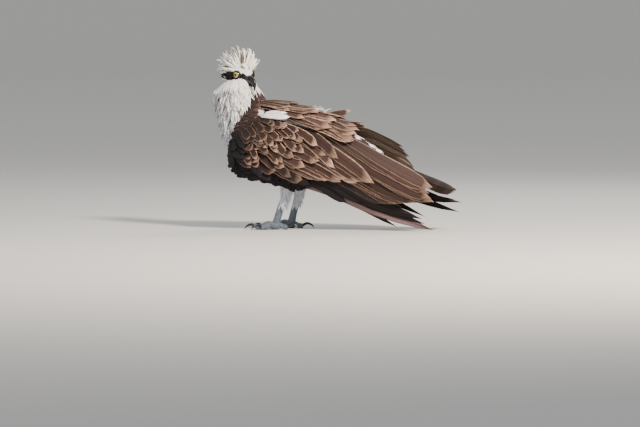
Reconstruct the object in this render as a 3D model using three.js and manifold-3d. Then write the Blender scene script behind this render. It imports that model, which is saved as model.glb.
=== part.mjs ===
// A life-size osprey, standing with its head turned back over its left shoulder.
// Millimetres, +Z up. The bird faces -X, its left side faces -Y, and the floor is z = 0.
import * as THREE from "three";
import { mergeVertices } from "three/addons/utils/BufferGeometryUtils.js";
import Module from "manifold-3d";

const wasm = await Module();
wasm.setup();

// Driving sizes
const GAP = 0.3;
const ROOT_DEPTH = 4;
const SLIVER = 0.15;
const SEED = 20611;

// Torso: a section every few centimetres from the breast to the tail root
const TORSO = [
  { x: -153, back: 212, belly: 192, half: 9 },
  { x: -146, back: 234, belly: 168, half: 30 },
  { x: -130, back: 256, belly: 146, half: 46 },
  { x: -100, back: 270, belly: 124, half: 57 },
  { x: -60, back: 268, belly: 112, half: 62 },
  { x: -20, back: 256, belly: 108, half: 61 },
  { x: 20, back: 244, belly: 111, half: 56 },
  { x: 60, back: 232, belly: 121, half: 48 },
  { x: 100, back: 216, belly: 136, half: 38 },
  { x: 135, back: 197, belly: 150, half: 27 },
  { x: 158, back: 180, belly: 157, half: 14 },
];

// Neck: centre line with its radii fore and aft and sideways
const NECK = [
  { x: -98, y: 0, z: 205, fore: 50, side: 47 },
  { x: -110, y: 0, z: 240, fore: 49, side: 44 },
  { x: -123, y: -1, z: 275, fore: 43, side: 40 },
  { x: -131, y: -2, z: 302, fore: 37, side: 36 },
  { x: -134, y: -3, z: 324, fore: 32, side: 32 },
];

// The level that parts the head's locks from the neck's
const COLLAR = 313;

// Head: its own frame has +X along the bill and +Z up, and it turns about its centre
const HEAD_CENTRE = new THREE.Vector3(-132, -1, 331);
const HEAD_TURN = -40;
const HEAD_PITCH = 9;
const HEAD = [
  { x: -37, top: 6, chin: -10, half: 8 },
  { x: -32, top: 17, chin: -19, half: 18 },
  { x: -20, top: 26, chin: -26, half: 26 },
  { x: -5, top: 30, chin: -28, half: 29 },
  { x: 9, top: 28, chin: -26, half: 27.5 },
  { x: 19, top: 21, chin: -22, half: 22 },
  { x: 27, top: 13, chin: -18, half: 15.5 },
  { x: 33, top: 6, chin: -15, half: 9.5 },
];
const EYE = { x: 15, y: 18.5, z: 3, radius: 9 };
const LID = { radius: 7.6, tube: 1.6, out: 5.2 };
// Bill: the ridge runs straight over the cere, then hooks down to the tip
const UPPER_BILL = [
  { x: 25, z: -4, high: 9.2, half: 8.2 },
  { x: 32, z: -3.6, high: 8.8, half: 7.6 },
  { x: 40, z: -3.8, high: 8.4, half: 6.6 },
  { x: 47, z: -6, high: 7.6, half: 5.4 },
  { x: 52.5, z: -11, high: 6, half: 4 },
  { x: 55, z: -17, high: 4, half: 2.6 },
  { x: 55.2, z: -23, high: 1.9, half: 1.3 },
  { x: 54.2, z: -28, high: 0.5, half: 0.4 },
];
const LOWER_BILL = [
  { x: 24, z: -15, high: 3.6, half: 7 },
  { x: 32, z: -15.2, high: 3.4, half: 6 },
  { x: 40, z: -15.6, high: 3, half: 4.6 },
  { x: 46, z: -16.2, high: 2, half: 3 },
  { x: 49, z: -16.6, high: 0.8, half: 1.2 },
];
const NOSTRIL = { x: 37, y: 6.6, z: -1, long: 3.2, high: 1.3, deep: 2.6 };

// Folded wing: the sheet that the feathers lie on, wrapped over the back and hanging down the side
const SHEET = [
  { x: -155, ridge: 250, mid: 196, half: 50 },
  { x: -130, ridge: 268, mid: 191, half: 58 },
  { x: -95, ridge: 277, mid: 185, half: 66 },
  { x: -60, ridge: 274, mid: 180, half: 69 },
  { x: 0, ridge: 257, mid: 170, half: 66 },
  { x: 60, ridge: 242, mid: 160, half: 58 },
  { x: 120, ridge: 214, mid: 140, half: 53 },
  { x: 180, ridge: 182, mid: 118, half: 51 },
  { x: 240, ridge: 152, mid: 92, half: 50 },
  { x: 300, ridge: 122, mid: 70, half: 50 },
  { x: 350, ridge: 98, mid: 50, half: 50 },
];
const SHEET_TUCK = 9;
const TUCK_REACH = 90;
// The arm under the feathers: where the sheet's flesh begins and ends, down from the ridge
const ARM = [
  { x: -150, top: 112, bottom: 140, thick: 3 },
  { x: -140, top: 84, bottom: 168, thick: 10 },
  { x: -118, top: 52, bottom: 192, thick: 13 },
  { x: -90, top: 18, bottom: 201, thick: 14 },
  { x: -50, top: 8, bottom: 203, thick: 14 },
  { x: 0, top: 5, bottom: 196, thick: 13 },
  { x: 40, top: 8, bottom: 176, thick: 11 },
  { x: 75, top: 20, bottom: 150, thick: 7 },
  { x: 100, top: 45, bottom: 120, thick: 3 },
];
const ARM_DEEP = 9;

// Feather tiers of one wing, each fanned from a low first feather to a high last one, as
// [x, down from the ridge]; the right wing is held looser, so its rear feathers end elsewhere
const TIERS = [
  {
    name: "primaries", count: 7, form: "pointed", wide: 25, thick: 0.75, tilt: 0.4,
    roots: [[-84, 184], [-20, 150]], tips: [[296, 148], [214, 128]], rightTips: [[342, 90], [250, 112]],
    arch: 10, lift: [-8.5, -8.5], stack: 1.1,
  },
  {
    name: "secondaries", count: 8, form: "round", wide: 31, thick: 0.7, tilt: 2.1,
    roots: [[-50, 166], [20, 86]], tips: [[112, 178], [272, 98]], rightTips: [[112, 178], [236, 92]],
    arch: 8, lift: [0.5, 4.5], stack: 0,
  },
  {
    name: "tertials", count: 4, form: "round", wide: 30, thick: 0.7, tilt: 2.5,
    roots: [[24, 75], [40, 44]], tips: [[306, 84], [300, 61]], rightTips: [[244, 78], [222, 28]],
    arch: -6, lift: [1.5, 9], stack: 0,
  },
  {
    name: "greater_coverts", count: 8, form: "round", wide: 30, thick: 0.7, tilt: 2.1,
    roots: [[-84, 158], [4, 86]], tips: [[18, 178], [178, 103]],
    arch: 6, lift: [3, 12], stack: 0,
  },
  {
    name: "median_coverts", count: 8, form: "short", wide: 28, thick: 0.7, tilt: 2.1,
    roots: [[-108, 160], [-14, 68]], tips: [[-38, 186], [92, 92]],
    arch: 5, lift: [2.5, 15], stack: 0,
  },
  {
    name: "lesser_coverts", count: 7, form: "short", wide: 27, thick: 0.7, tilt: 2,
    roots: [[-128, 142], [-38, 52]], tips: [[-84, 182], [32, 82]],
    arch: 3, lift: [2, 15.5], stack: 0,
  },
  {
    name: "shoulder_coverts", count: 6, form: "short", wide: 26, thick: 0.7, tilt: 2,
    roots: [[-138, 112], [-78, 50]], tips: [[-114, 160], [-22, 80]],
    arch: 3, lift: [0.5, 15], stack: 0,
  },
  {
    name: "scapulars_low", count: 4, form: "round", wide: 32, thick: 0.7, tilt: 2.3,
    roots: [[-26, 52], [-6, 16]], tips: [[122, 60], [134, 20]],
    arch: 4, lift: [0.5, 15], stack: 0,
  },
  {
    name: "scapulars_high", count: 4, form: "short", wide: 30, thick: 0.7, tilt: 2.6,
    roots: [[-84, 44], [-58, 16]], tips: [[24, 54], [52, 18]],
    arch: 4, lift: [-1.5, 17.5], stack: 0,
  },
];
// The two outermost primaries: a short one, and the one that makes the wing's point
const OUTER_PRIMARIES = [
  { root: [-88, 174], tip: [220, 179], rightTip: [268, 152], wide: 20, lift: -10.9 },
  { root: [-80, 180], tip: [292, 153], rightTip: [334, 108], wide: 22, lift: -9.7 },
];
// Share of a feather's width at each of its rows, from root to tip, and how many points cross it
const FORMS = {
  round: { at: [0, 0.4, 0.84, 1], width: [0.5, 0.95, 0.95, 0.3], columns: [-1, 1] },
  pointed: { at: [0, 0.4, 0.82, 1], width: [0.6, 1, 0.72, 0.14], columns: [-1, 1] },
  short: { at: [0, 0.45, 0.82, 1], width: [0.6, 1, 0.84, 0.24], columns: [-1, 1] },
};
// The rear of the right wing is raised
const RIGHT_SHEET = [
  ...SHEET.slice(0, 5),
  { x: 60, ridge: 240, mid: 162, half: 60 },
  { x: 110, ridge: 223, mid: 150, half: 58 },
  { x: 145, ridge: 217, mid: 142, half: 57 },
  { x: 180, ridge: 200, mid: 132, half: 57 },
  { x: 215, ridge: 180, mid: 122, half: 57 },
  { x: 250, ridge: 158, mid: 112, half: 56 },
  { x: 300, ridge: 130, mid: 98, half: 55 },
  { x: 350, ridge: 104, mid: 84, half: 54 },
];

// Tail: twelve feathers, rolled so that the left edge is low
const TAIL_ROOT = new THREE.Vector3(128, 0, 172);
const TAIL_LENGTH = 230;
const TAIL_DROP = 21.5;
const TAIL_ROLL = 14;
const RECTRIX = { count: 12, wide: 31, thick: 0.8, rootHalf: 9, tipHalf: 26, step: 1.35 };

// Legs: ankle, foot and toes for each side
const LEG = {
  left: { hip: [-16, -34, 132], ankle: [-24, -31, 78], foot: [-47, -33, 13], turn: 8 },
  right: { hip: [-5, 34, 132], ankle: [-8, 31, 80], foot: [-27, 33, 13], turn: -6 },
};
const TOES = [
  { name: "inner", turn: 34, length: 36, knuckle: 11 },
  { name: "middle", turn: 2, length: 43, knuckle: 13 },
  { name: "outer", turn: -32, length: 37, knuckle: 11 },
  { name: "hind", turn: 176, length: 27, knuckle: 9 },
];
const TOE_RADIUS = 5.6;
const CLAW = { length: 25, radius: 3.1 };

const COLOURS = {
  brown: 0x6f5546,
  dark: 0x2a211f,
  white: 0xf2eee9,
  horn: 0x23262c,
  iris: 0xd9b04a,
  scale: 0x8d98a8,
};

// Small helpers
const rad = THREE.MathUtils.degToRad;
const vec = (x, y, z) => new THREE.Vector3(x, y, z);
const mix = (a, b, t) => a + (b - a) * t;

// A repeatable random number from 0 to 1.
function makeRandom(seed) {
  let state = seed;
  return () => {
    state = (state * 16807) % 2147483647;
    return state / 2147483647;
  };
}
const random = makeRandom(SEED);
const vary = (amount) => (random() * 2 - 1) * amount;

// Reads a table of stations at x, along a smooth curve through each named value.
function stationAt(table, x) {
  const last = table.length - 1;
  const clamped = THREE.MathUtils.clamp(x, table[0].x, table[last].x);
  let i = table.findIndex((row) => row.x >= clamped);
  i = Math.max(1, i);
  const t = (clamped - table[i - 1].x) / (table[i].x - table[i - 1].x);
  const near = [Math.max(0, i - 2), i - 1, i, Math.min(last, i + 1)].map((k) => table[k]);
  const found = {};
  for (const key of Object.keys(table[0])) {
    const slope = (a, b) => (b[key] - a[key]) / Math.max(b.x - a.x, 1e-6);
    const span = near[2].x - near[1].x;
    const start = slope(near[0], near[2]) * span;
    const end = slope(near[1], near[3]) * span;
    const t2 = t * t;
    const t3 = t2 * t;
    found[key] =
      (2 * t3 - 3 * t2 + 1) * near[1][key] +
      (t3 - 2 * t2 + t) * start +
      (3 * t2 - 2 * t3) * near[2][key] +
      (t3 - t2) * end;
  }
  return found;
}

// Turns triangles of points into a manifold-3d solid that faces out.
function solidFromTriangles(points, triangles) {
  const geometry = new THREE.BufferGeometry();
  geometry.setAttribute("position", new THREE.Float32BufferAttribute(points.flatMap((p) => p.toArray()), 3));
  geometry.setIndex(triangles.flat());
  const merged = mergeVertices(geometry, 1e-4);
  const position = merged.getAttribute("position");
  const index = [];
  for (let k = 0; k < merged.index.count; k += 3) {
    const triangle = Array.from(merged.index.array.slice(k, k + 3));
    if (new Set(triangle).size === 3) index.push(...triangle);
  }
  const corner = (k) => vec().fromBufferAttribute(position, index[k]);
  let volume = 0;
  for (let k = 0; k < index.length; k += 3) volume += corner(k).dot(corner(k + 1).cross(corner(k + 2)));
  const triVerts = new Uint32Array(index);
  if (volume < 0)
    for (let k = 0; k < triVerts.length; k += 3) [triVerts[k + 1], triVerts[k + 2]] = [triVerts[k + 2], triVerts[k + 1]];
  return new wasm.Manifold(new wasm.Mesh({ numProp: 3, vertProperties: position.array, triVerts }));
}

// Joins rings of points into one closed solid, with a fan over each end.
function loft(rings) {
  const sides = rings[0].length;
  const points = rings.flat();
  const triangles = [];
  for (let r = 0; r < rings.length - 1; r += 1)
    for (let s = 0; s < sides; s += 1) {
      const a = r * sides + s;
      const b = r * sides + ((s + 1) % sides);
      triangles.push([a, b, b + sides], [a, b + sides, a + sides]);
    }
  for (const [ring, flip] of [[0, true], [rings.length - 1, false]]) {
    const centre = points.length;
    points.push(rings[ring].reduce((sum, p) => sum.add(p), vec(0, 0, 0)).divideScalar(sides));
    for (let s = 0; s < sides; s += 1) {
      const a = ring * sides + s;
      const b = ring * sides + ((s + 1) % sides);
      triangles.push(flip ? [centre, b, a] : [centre, a, b]);
    }
  }
  return solidFromTriangles(points, triangles);
}

// Closes two matching grids of points into one thin solid, split into triangles alike on both faces.
function plate(front, back) {
  const rows = front.length;
  const columns = front[0].length;
  const points = [...front.flat(), ...back.flat()];
  const under = rows * columns;
  const triangles = [];
  for (let r = 0; r < rows - 1; r += 1)
    for (let c = 0; c < columns - 1; c += 1) {
      const a = r * columns + c;
      const [b, d, e] = [a + 1, a + columns, a + columns + 1];
      triangles.push([a, d, e], [a, e, b], [a + under, e + under, d + under], [a + under, b + under, e + under]);
    }
  const rim = [];
  for (let c = 0; c < columns; c += 1) rim.push(c);
  for (let r = 1; r < rows; r += 1) rim.push(r * columns + columns - 1);
  for (let c = columns - 2; c >= 0; c -= 1) rim.push((rows - 1) * columns + c);
  for (let r = rows - 2; r > 0; r -= 1) rim.push(r * columns);
  rim.forEach((a, k) => {
    const b = rim[(k + 1) % rim.length];
    triangles.push([a, b, b + under], [a, b + under, a + under]);
  });
  return solidFromTriangles(points, triangles);
}

// Joins pieces, cuts others away, and keeps the largest closed surface without its slivers.
function fuse(pieces, cuts = []) {
  let whole = pieces.reduce((sum, piece) => sum.add(piece));
  for (const cut of cuts) whole = whole.subtract(cut);
  const largest = whole.decompose().reduce((best, body) => (body.volume() > best.volume() ? body : best));
  return largest.simplify(SLIVER);
}

// A round tube of changing radius along a curve through the given points.
function tube(points, radii, sides, rings) {
  const curve = new THREE.CatmullRomCurve3(points);
  const frames = curve.computeFrenetFrames(rings, false);
  const circle = (k) => {
    const t = k / rings;
    const place = t * (radii.length - 1);
    const low = Math.min(Math.floor(place), radii.length - 2);
    const radius = mix(radii[low], radii[low + 1], place - low);
    const centre = curve.getPointAt(t);
    return Array.from({ length: sides }, (_, s) => {
      const angle = (s / sides) * Math.PI * 2;
      return centre
        .clone()
        .addScaledVector(frames.normals[k], Math.cos(angle) * radius)
        .addScaledVector(frames.binormals[k], Math.sin(angle) * radius);
    });
  };
  return loft(Array.from({ length: rings + 1 }, (_, k) => circle(k)));
}

// An ellipsoid from a three.js sphere, moved and scaled.
function ellipsoid(centre, radii, across, down) {
  const geometry = new THREE.SphereGeometry(1, across, down);
  geometry.deleteAttribute("normal");
  geometry.deleteAttribute("uv");
  geometry.scale(radii.x, radii.y, radii.z);
  geometry.translate(centre.x, centre.y, centre.z);
  const merged = mergeVertices(geometry, 1e-3);
  const position = merged.getAttribute("position");
  const points = Array.from({ length: position.count }, (_, k) => vec().fromBufferAttribute(position, k));
  const triangles = [];
  for (let k = 0; k < merged.index.count; k += 3) triangles.push(Array.from(merged.index.array.slice(k, k + 3)));
  return solidFromTriangles(points, triangles);
}

// A flat, tapered lock that leaves a surface along its normal, bends over to its lie and ends in a point.
function lock({ root, normal, lie, length, wide, thick, rise }) {
  const across = vec().crossVectors(normal, lie).normalize();
  const at = (along, out) => root.clone().addScaledVector(lie, along).addScaledVector(normal, out);
  const out = vec().crossVectors(across, lie).normalize();
  if (out.dot(normal) < 0) out.negate();
  const ring = (centre, share) => [
    centre.clone().addScaledVector(across, wide * share),
    centre.clone().addScaledVector(out, thick * share),
    centre.clone().addScaledVector(across, -wide * share),
  ];
  return loft([
    ring(at(0, -ROOT_DEPTH), 0.85),
    ring(at(length * 0.4, length * rise * 0.6), 1),
    ring(at(length * 0.75, length * rise * 0.95), 0.6),
    ring(at(length, length * rise), 0),
  ]);
}

// Torso
function torsoPoint(x, angle, grow = 0) {
  const { back, belly, half } = stationAt(TORSO, x);
  const middle = mix(belly, back, 0.46);
  const reach = Math.sin(angle) > 0 ? back - middle : middle - belly;
  return vec(x, Math.cos(angle) * (half + grow), middle + Math.sin(angle) * (reach + grow));
}

function torsoSolid(grow = 0) {
  const first = TORSO[0].x;
  const last = TORSO[TORSO.length - 1].x;
  const steps = 14;
  const sides = 18;
  const rings = Array.from({ length: steps + 1 }, (_, k) => {
    const share = 0.5 - 0.5 * Math.cos((k / steps) * Math.PI);
    const x = mix(first, last, mix(k / steps, share, 0.5));
    return Array.from({ length: sides }, (_, s) => torsoPoint(x, (s / sides) * Math.PI * 2, grow));
  });
  rings[0].forEach((p) => (p.x -= grow));
  rings[steps].forEach((p) => (p.x += grow));
  return loft(rings);
}

// Neck, read by a share of the way up
const neckCurve = new THREE.CatmullRomCurve3(NECK.map((row) => vec(row.x, row.y, row.z)));
const NECK_RADII = NECK.map((row, k) => ({ x: k / (NECK.length - 1), fore: row.fore, side: row.side }));

function neckPoint(share, angle, grow = 0) {
  const centre = neckCurve.getPoint(share);
  const along = neckCurve.getTangent(share);
  const aft = vec(along.z, 0, -along.x).normalize();
  const { fore, side } = stationAt(NECK_RADII, share);
  return centre
    .addScaledVector(aft, Math.cos(angle) * (fore + grow))
    .add(vec(0, Math.sin(angle) * (side + grow), 0));
}

function neckSolid(grow = 0) {
  const steps = 5;
  const sides = 14;
  const ring = (share) =>
    Array.from({ length: sides }, (_, s) => neckPoint(share, (s / sides) * Math.PI * 2, grow));
  return loft(Array.from({ length: steps + 1 }, (_, k) => ring(k / steps)));
}

// Head, in its own frame and then turned into place
const headMatrix = new THREE.Matrix4()
  .makeTranslation(HEAD_CENTRE)
  .multiply(new THREE.Matrix4().makeRotationZ(rad(HEAD_TURN)))
  .multiply(new THREE.Matrix4().makeRotationY(rad(HEAD_PITCH)));
const intoHead = (solid) => solid.transform(Array.from(headMatrix.elements));

function headPoint(x, angle, grow = 0) {
  const { top, chin, half } = stationAt(HEAD, x);
  const middle = mix(chin, top, 0.48);
  const reach = Math.sin(angle) > 0 ? top - middle : middle - chin;
  return vec(x, Math.cos(angle) * (half + grow), middle + Math.sin(angle) * (reach + grow));
}

function headCore(grow = 0) {
  const steps = 10;
  const sides = 16;
  const first = HEAD[0].x;
  const last = HEAD[HEAD.length - 1].x;
  const rings = Array.from({ length: steps + 1 }, (_, k) => {
    const share = 0.5 - 0.5 * Math.cos((k / steps) * Math.PI);
    const x = mix(first, last, mix(k / steps, share, 0.6));
    return Array.from({ length: sides }, (_, s) => headPoint(x, (s / sides) * Math.PI * 2, grow));
  });
  rings[0].forEach((p) => (p.x -= grow));
  rings[steps].forEach((p) => (p.x += grow));
  return loft(rings);
}

function billSolid(table, grow = 0) {
  const sides = 12;
  return loft(
    table.map((row, k) => {
      const before = table[Math.max(0, k - 1)];
      const after = table[Math.min(table.length - 1, k + 1)];
      const along = vec(after.x - before.x, 0, after.z - before.z).normalize();
      const up = vec(-along.z, 0, along.x);
      return Array.from({ length: sides }, (_, s) => {
        const angle = (s / sides) * Math.PI * 2;
        return vec(row.x, 0, row.z)
          .addScaledVector(along, k === 0 ? -grow : 0)
          .addScaledVector(up, Math.sin(angle) * (row.high + grow))
          .add(vec(0, Math.cos(angle) * (row.half + grow), 0));
      });
    }),
  );
}

function eyeSolid(side, grow = 0) {
  const size = EYE.radius + grow;
  return ellipsoid(vec(EYE.x, side * EYE.y, EYE.z), vec(size, size, size), 12, 8);
}

// The rim of the lids, a ring that faces out and a little forward.
function lidSolid(side) {
  const facing = vec(0.42, side, 0.06).normalize();
  const centre = vec(EYE.x, side * EYE.y, EYE.z).addScaledVector(facing, LID.out);
  const ring = new THREE.TorusGeometry(LID.radius, LID.tube, 5, 14);
  const turn = new THREE.Quaternion().setFromUnitVectors(vec(0, 0, 1), facing);
  const position = ring.getAttribute("position");
  const points = Array.from({ length: position.count }, (_, k) =>
    vec().fromBufferAttribute(position, k).applyQuaternion(turn).add(centre),
  );
  const index = Array.from(ring.index.array);
  const triangles = [];
  for (let k = 0; k < index.length; k += 3) triangles.push(index.slice(k, k + 3));
  return solidFromTriangles(points, triangles);
}

// The ruffled crest: locks in rings round the skull, long on the crown and nape, short on the cheek
function headLocks() {
  const locks = [];
  const rings = [-33, -25, -14, -3, 8];
  rings.forEach((x, row) => {
    const count = [5, 7, 7, 7, 5][row];
    for (let k = 0; k < count; k += 1) {
      const spread = row < 3 ? 250 : 200;
      const angle = rad(90 + ((k + 0.5 + vary(0.2)) / count - 0.5) * spread);
      const root = headPoint(x, angle);
      const normal = root.clone().sub(vec(-2, 0, 0)).multiply(vec(1, 1.1, 1.1)).normalize();
      const crown = Math.max(0, Math.sin(angle));
      const lie = vec(-1, vary(0.3), 0.25 * crown - 0.2).addScaledVector(normal, 0.35).normalize();
      const left = x > -20 ? Math.max(0, Math.cos(angle)) : 0;
      const length = mix(10, 19, crown) + 7 * left + vary(2.5);
      const rise = mix(0.35, 0.75, Math.max(crown, left));
      locks.push(lock({ root, normal, lie, length, wide: 5, thick: 2, rise }));
    }
  });
  return locks;
}

// Neck locks: rings that hang from the throat and nape, longest low on the throat
function neckLocks() {
  const locks = [];
  [0.9, 0.72, 0.54, 0.38].forEach((share, row) => {
    const count = 9;
    for (let k = 0; k < count; k += 1) {
      const angle = ((k + (row % 2) * 0.5 + vary(0.2)) / count) * Math.PI * 2;
      const root = neckPoint(share, angle);
      const normal = root.clone().sub(neckPoint(share, angle + Math.PI)).normalize();
      const front = Math.max(0, -Math.cos(angle));
      const lie = vec(0.12 + 0.5 * (1 - front), vary(0.15), -1).normalize();
      const length = mix(17, 25, front) + vary(3);
      locks.push(lock({ root, normal, lie, length, wide: 7, thick: 2.2, rise: mix(0.28, 0.5, front) }));
    }
  });
  return locks;
}

// The wing's sheet: a point so far down from the ridge, and so far out from the sheet
function sheetPoint(side, x, down, out = 0) {
  const { ridge, mid, half } = stationAt(side === "left" ? SHEET : RIGHT_SHEET, x);
  const mirror = side === "left" ? 1 : -1;
  const high = ridge - mid;
  const steps = 24;
  let walked = 0;
  for (let k = 0; k < steps; k += 1) {
    const a = (k / steps) * (Math.PI / 2);
    const b = ((k + 1) / steps) * (Math.PI / 2);
    const piece = Math.hypot(half * (Math.sin(b) - Math.sin(a)), high * (Math.cos(b) - Math.cos(a)));
    if (walked + piece >= down) {
      const angle = mix(a, b, (down - walked) / piece);
      const normal = vec(0, (-mirror * Math.sin(angle)) / half, Math.cos(angle) / high).normalize();
      const point = vec(x, -mirror * half * Math.sin(angle), mid + high * Math.cos(angle));
      return point.addScaledVector(normal, out);
    }
    walked += piece;
  }
  const below = down - walked;
  return vec(x, mirror * (-half + SHEET_TUCK * (below / TUCK_REACH) ** 2 - out), mid - below);
}

// The flesh of the arm and hand, a lens-shaped plate inside the sheet.
function armSolid(side) {
  const steps = 7;
  const half = 4;
  const rings = Array.from({ length: steps + 1 }, (_, k) => {
    const x = mix(ARM[0].x, ARM[ARM.length - 1].x, k / steps);
    const { top, bottom, thick } = stationAt(ARM, x);
    const row = (s, sign) => {
      const share = s / half;
      const bulge = Math.sqrt(Math.max(0, 1 - (2 * share - 1) ** 2)) ** 0.5;
      const deep = sign < 0 ? ARM_DEEP * share * Math.sqrt(bulge) : 0;
      return sheetPoint(side, x, mix(top, bottom, share), sign * bulge * thick * 0.5 - 1.5 - deep);
    };
    const outer = Array.from({ length: half + 1 }, (_, s) => row(s, 1));
    const inner = Array.from({ length: half - 1 }, (_, s) => row(half - 1 - s, -1));
    return [...outer, ...inner];
  });
  return loft(rings);
}

// One feather on the sheet, from its root to its tip, with its lower edge tilted out over the next.
function sheetVane(side, { root, tip, wide, thick, tilt, riseAt, form }) {
  const { at, width, columns } = FORMS[form];
  const [dx, dd] = [tip[0] - root[0], tip[1] - root[1]];
  const length = Math.hypot(dx, dd);
  const across = [-dd / length, dx / length];
  const grid = (face) =>
    at.map((t, row) => {
      const thin = row === at.length - 1 ? 0.6 : 1;
      return columns.map((c) => {
        const reach = c * 0.5 * wide * width[row];
        const x = root[0] + dx * t + across[0] * reach;
        const down = Math.max(1.5, root[1] + dd * t + across[1] * reach);
        return sheetPoint(side, x, down, riseAt(x, down) + c * tilt * width[row] + face * 0.5 * thick * thin);
      });
    });
  return plate(grid(1), grid(-1));
}

// How far a point of the sheet is from a line through two others.
function fromLine([a, b], x, down) {
  const [dx, dd] = [b[0] - a[0], b[1] - a[1]];
  return ((x - a[0]) * dd - (down - a[1]) * dx) / Math.hypot(dx, dd);
}

// The feathers of one tier, fanned evenly between its first and its last. They rise together from
// the line of roots to the line of tips, so that each stays clear of the next.
function tierVanes(side, tier) {
  const tips = (side === "right" && tier.rightTips) || tier.tips;
  return Array.from({ length: tier.count }, (_, k) => {
    const t = k / (tier.count - 1);
    const between = (pair) => [mix(pair[0][0], pair[1][0], t), mix(pair[0][1], pair[1][1], t)];
    const tip = between(tips);
    tip[0] += Math.sin(t * Math.PI) * tier.arch + vary(3);
    const riseAt = (x, down) => {
      const past = Math.abs(fromLine(tier.roots, x, down));
      const left = Math.abs(fromLine(tips, x, down));
      return mix(tier.lift[0], tier.lift[1], past / (past + left)) + k * tier.stack;
    };
    return sheetVane(side, { ...tier, root: between(tier.roots), tip, riseAt });
  });
}

function wingPieces(side) {
  const outer = OUTER_PRIMARIES.map((feather) => {
    const tip = side === "left" ? feather.tip : feather.rightTip;
    return sheetVane(side, { ...TIERS[0], ...feather, tip, riseAt: () => feather.lift });
  });
  return [armSolid(side), ...outer, ...TIERS.flatMap((tier) => tierVanes(side, tier))];
}

// Tail, in its own frame with +X to the tip, then dropped and rolled
const tailMatrix = new THREE.Matrix4()
  .makeTranslation(TAIL_ROOT)
  .multiply(new THREE.Matrix4().makeRotationY(rad(TAIL_DROP)))
  .multiply(new THREE.Matrix4().makeRotationX(rad(TAIL_ROLL)));

function rectrix(k) {
  const side = (k / (RECTRIX.count - 1)) * 2 - 1;
  const length = TAIL_LENGTH * (1 - 0.035 * side * side);
  const { at, width } = FORMS.round;
  const grid = (face) =>
    at.map((t, row) => {
      const middle = side * mix(RECTRIX.rootHalf, RECTRIX.tipHalf, t ** 0.9);
      return [-1, 0, 1].map((c) => {
        const across = middle + c * 0.5 * RECTRIX.wide * width[row];
        const order = Math.abs(k - (RECTRIX.count - 1.2) / 2);
        const thin = row === at.length - 1 ? 0.6 : 1;
        return vec(t * length, across, face * 0.5 * RECTRIX.thick * thin - order * RECTRIX.step);
      });
    });
  return plate(grid(1), grid(-1));
}

// The fleshy root of the tail with its coverts, above and below.
function tailRoot() {
  const ring = (x, half, high) =>
    Array.from({ length: 12 }, (_, s) => {
      const angle = (s / 12) * Math.PI * 2;
      return vec(x, Math.cos(angle) * half, -4 + Math.sin(angle) * high);
    });
  return loft([ring(-14, 13, 9), ring(4, 18, 14), ring(34, 20, 11), ring(70, 21, 6.5), ring(96, 14, 3)]);
}

function tailSolid() {
  const feathers = Array.from({ length: RECTRIX.count }, (_, k) => rectrix(k));
  return [tailRoot(), ...feathers].map((piece) => piece.transform(Array.from(tailMatrix.elements)));
}

// The space kept clear round the tail, which the wings are cut back to.
function tailRoom() {
  const corners = (x, half, high) => [
    vec(x, -half, high), vec(x, half, high), vec(x, half, -14), vec(x, -half, -14),
  ];
  const room = loft([corners(-16, 22, 16), corners(60, 30, 12), corners(130, 38, 6), corners(TAIL_LENGTH + 6, 46, 5)]);
  return room.transform(Array.from(tailMatrix.elements));
}

// Legs
function thighSolid(side, grow = 0) {
  const { hip, ankle } = LEG[side];
  const top = vec(...hip);
  const low = vec(...ankle);
  const middle = top.clone().lerp(low, 0.5).add(vec(-3, 0, 0));
  return tube([top, middle, low.clone().lerp(middle, 0.12)], [27, 21, 13, 9].map((r) => r + grow), 12, 5);
}

function toePath(side, toe) {
  const { foot, turn } = LEG[side];
  const mirror = side === "left" ? 1 : -1;
  const angle = rad(180 + turn + toe.turn * mirror);
  const away = vec(Math.cos(angle), Math.sin(angle), 0);
  const base = vec(foot[0], foot[1], TOE_RADIUS + 3.5);
  const low = TOE_RADIUS - 0.8;
  return {
    away,
    points: [
      base,
      base.clone().addScaledVector(away, toe.length * 0.34).setZ(toe.knuckle),
      base.clone().addScaledVector(away, toe.length * 0.7).setZ(low + 1.2),
      base.clone().addScaledVector(away, toe.length).setZ(low),
    ],
  };
}

function footSolid(side) {
  const { ankle, foot } = LEG[side];
  const shank = tube(
    [vec(...ankle).add(vec(3, 0, 2)), vec(...ankle).lerp(vec(...foot), 0.5), vec(...foot).setZ(TOE_RADIUS + 3)],
    [8.2, 7.4, 6.2, 6.6, 8.4], 8, 4,
  );
  const toes = TOES.map((toe) => tube(toePath(side, toe).points, [7, 5.8, 6.2, 5.2, 5.8, 4.6], 7, 5));
  const pad = ellipsoid(vec(foot[0], foot[1], 7), vec(12, 11, 8), 10, 6);
  return [shank, pad, ...toes];
}

function clawSolid(side, toe, grow = 0) {
  const { points, away } = toePath(side, toe);
  const end = points[3];
  const start = end.clone().addScaledVector(away, -2).setZ(end.z + 1.4);
  const size = toe.name === "hind" ? 1.05 : 1;
  const path = [
    start,
    start.clone().addScaledVector(away, CLAW.length * 0.42 * size).add(vec(0, 0, 4.6)),
    start.clone().addScaledVector(away, CLAW.length * 0.82 * size).add(vec(0, 0, 1.2)),
    start.clone().addScaledVector(away, CLAW.length * size).setZ(0.9),
  ];
  return tube(path, [CLAW.radius + grow, CLAW.radius * 0.92 + grow, CLAW.radius * 0.6 + grow, 0.5 + grow], 7, 6);
}

// A block that fills the space between two levels.
function slab(low, high) {
  const wide = 700;
  const square = (z) => [vec(-wide, -wide, z), vec(wide, -wide, z), vec(wide, wide, z), vec(-wide, wide, z)];
  return loft([square(low), square(high)]);
}

// Assembly
const osprey = new THREE.Group();
osprey.name = "osprey";

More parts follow.
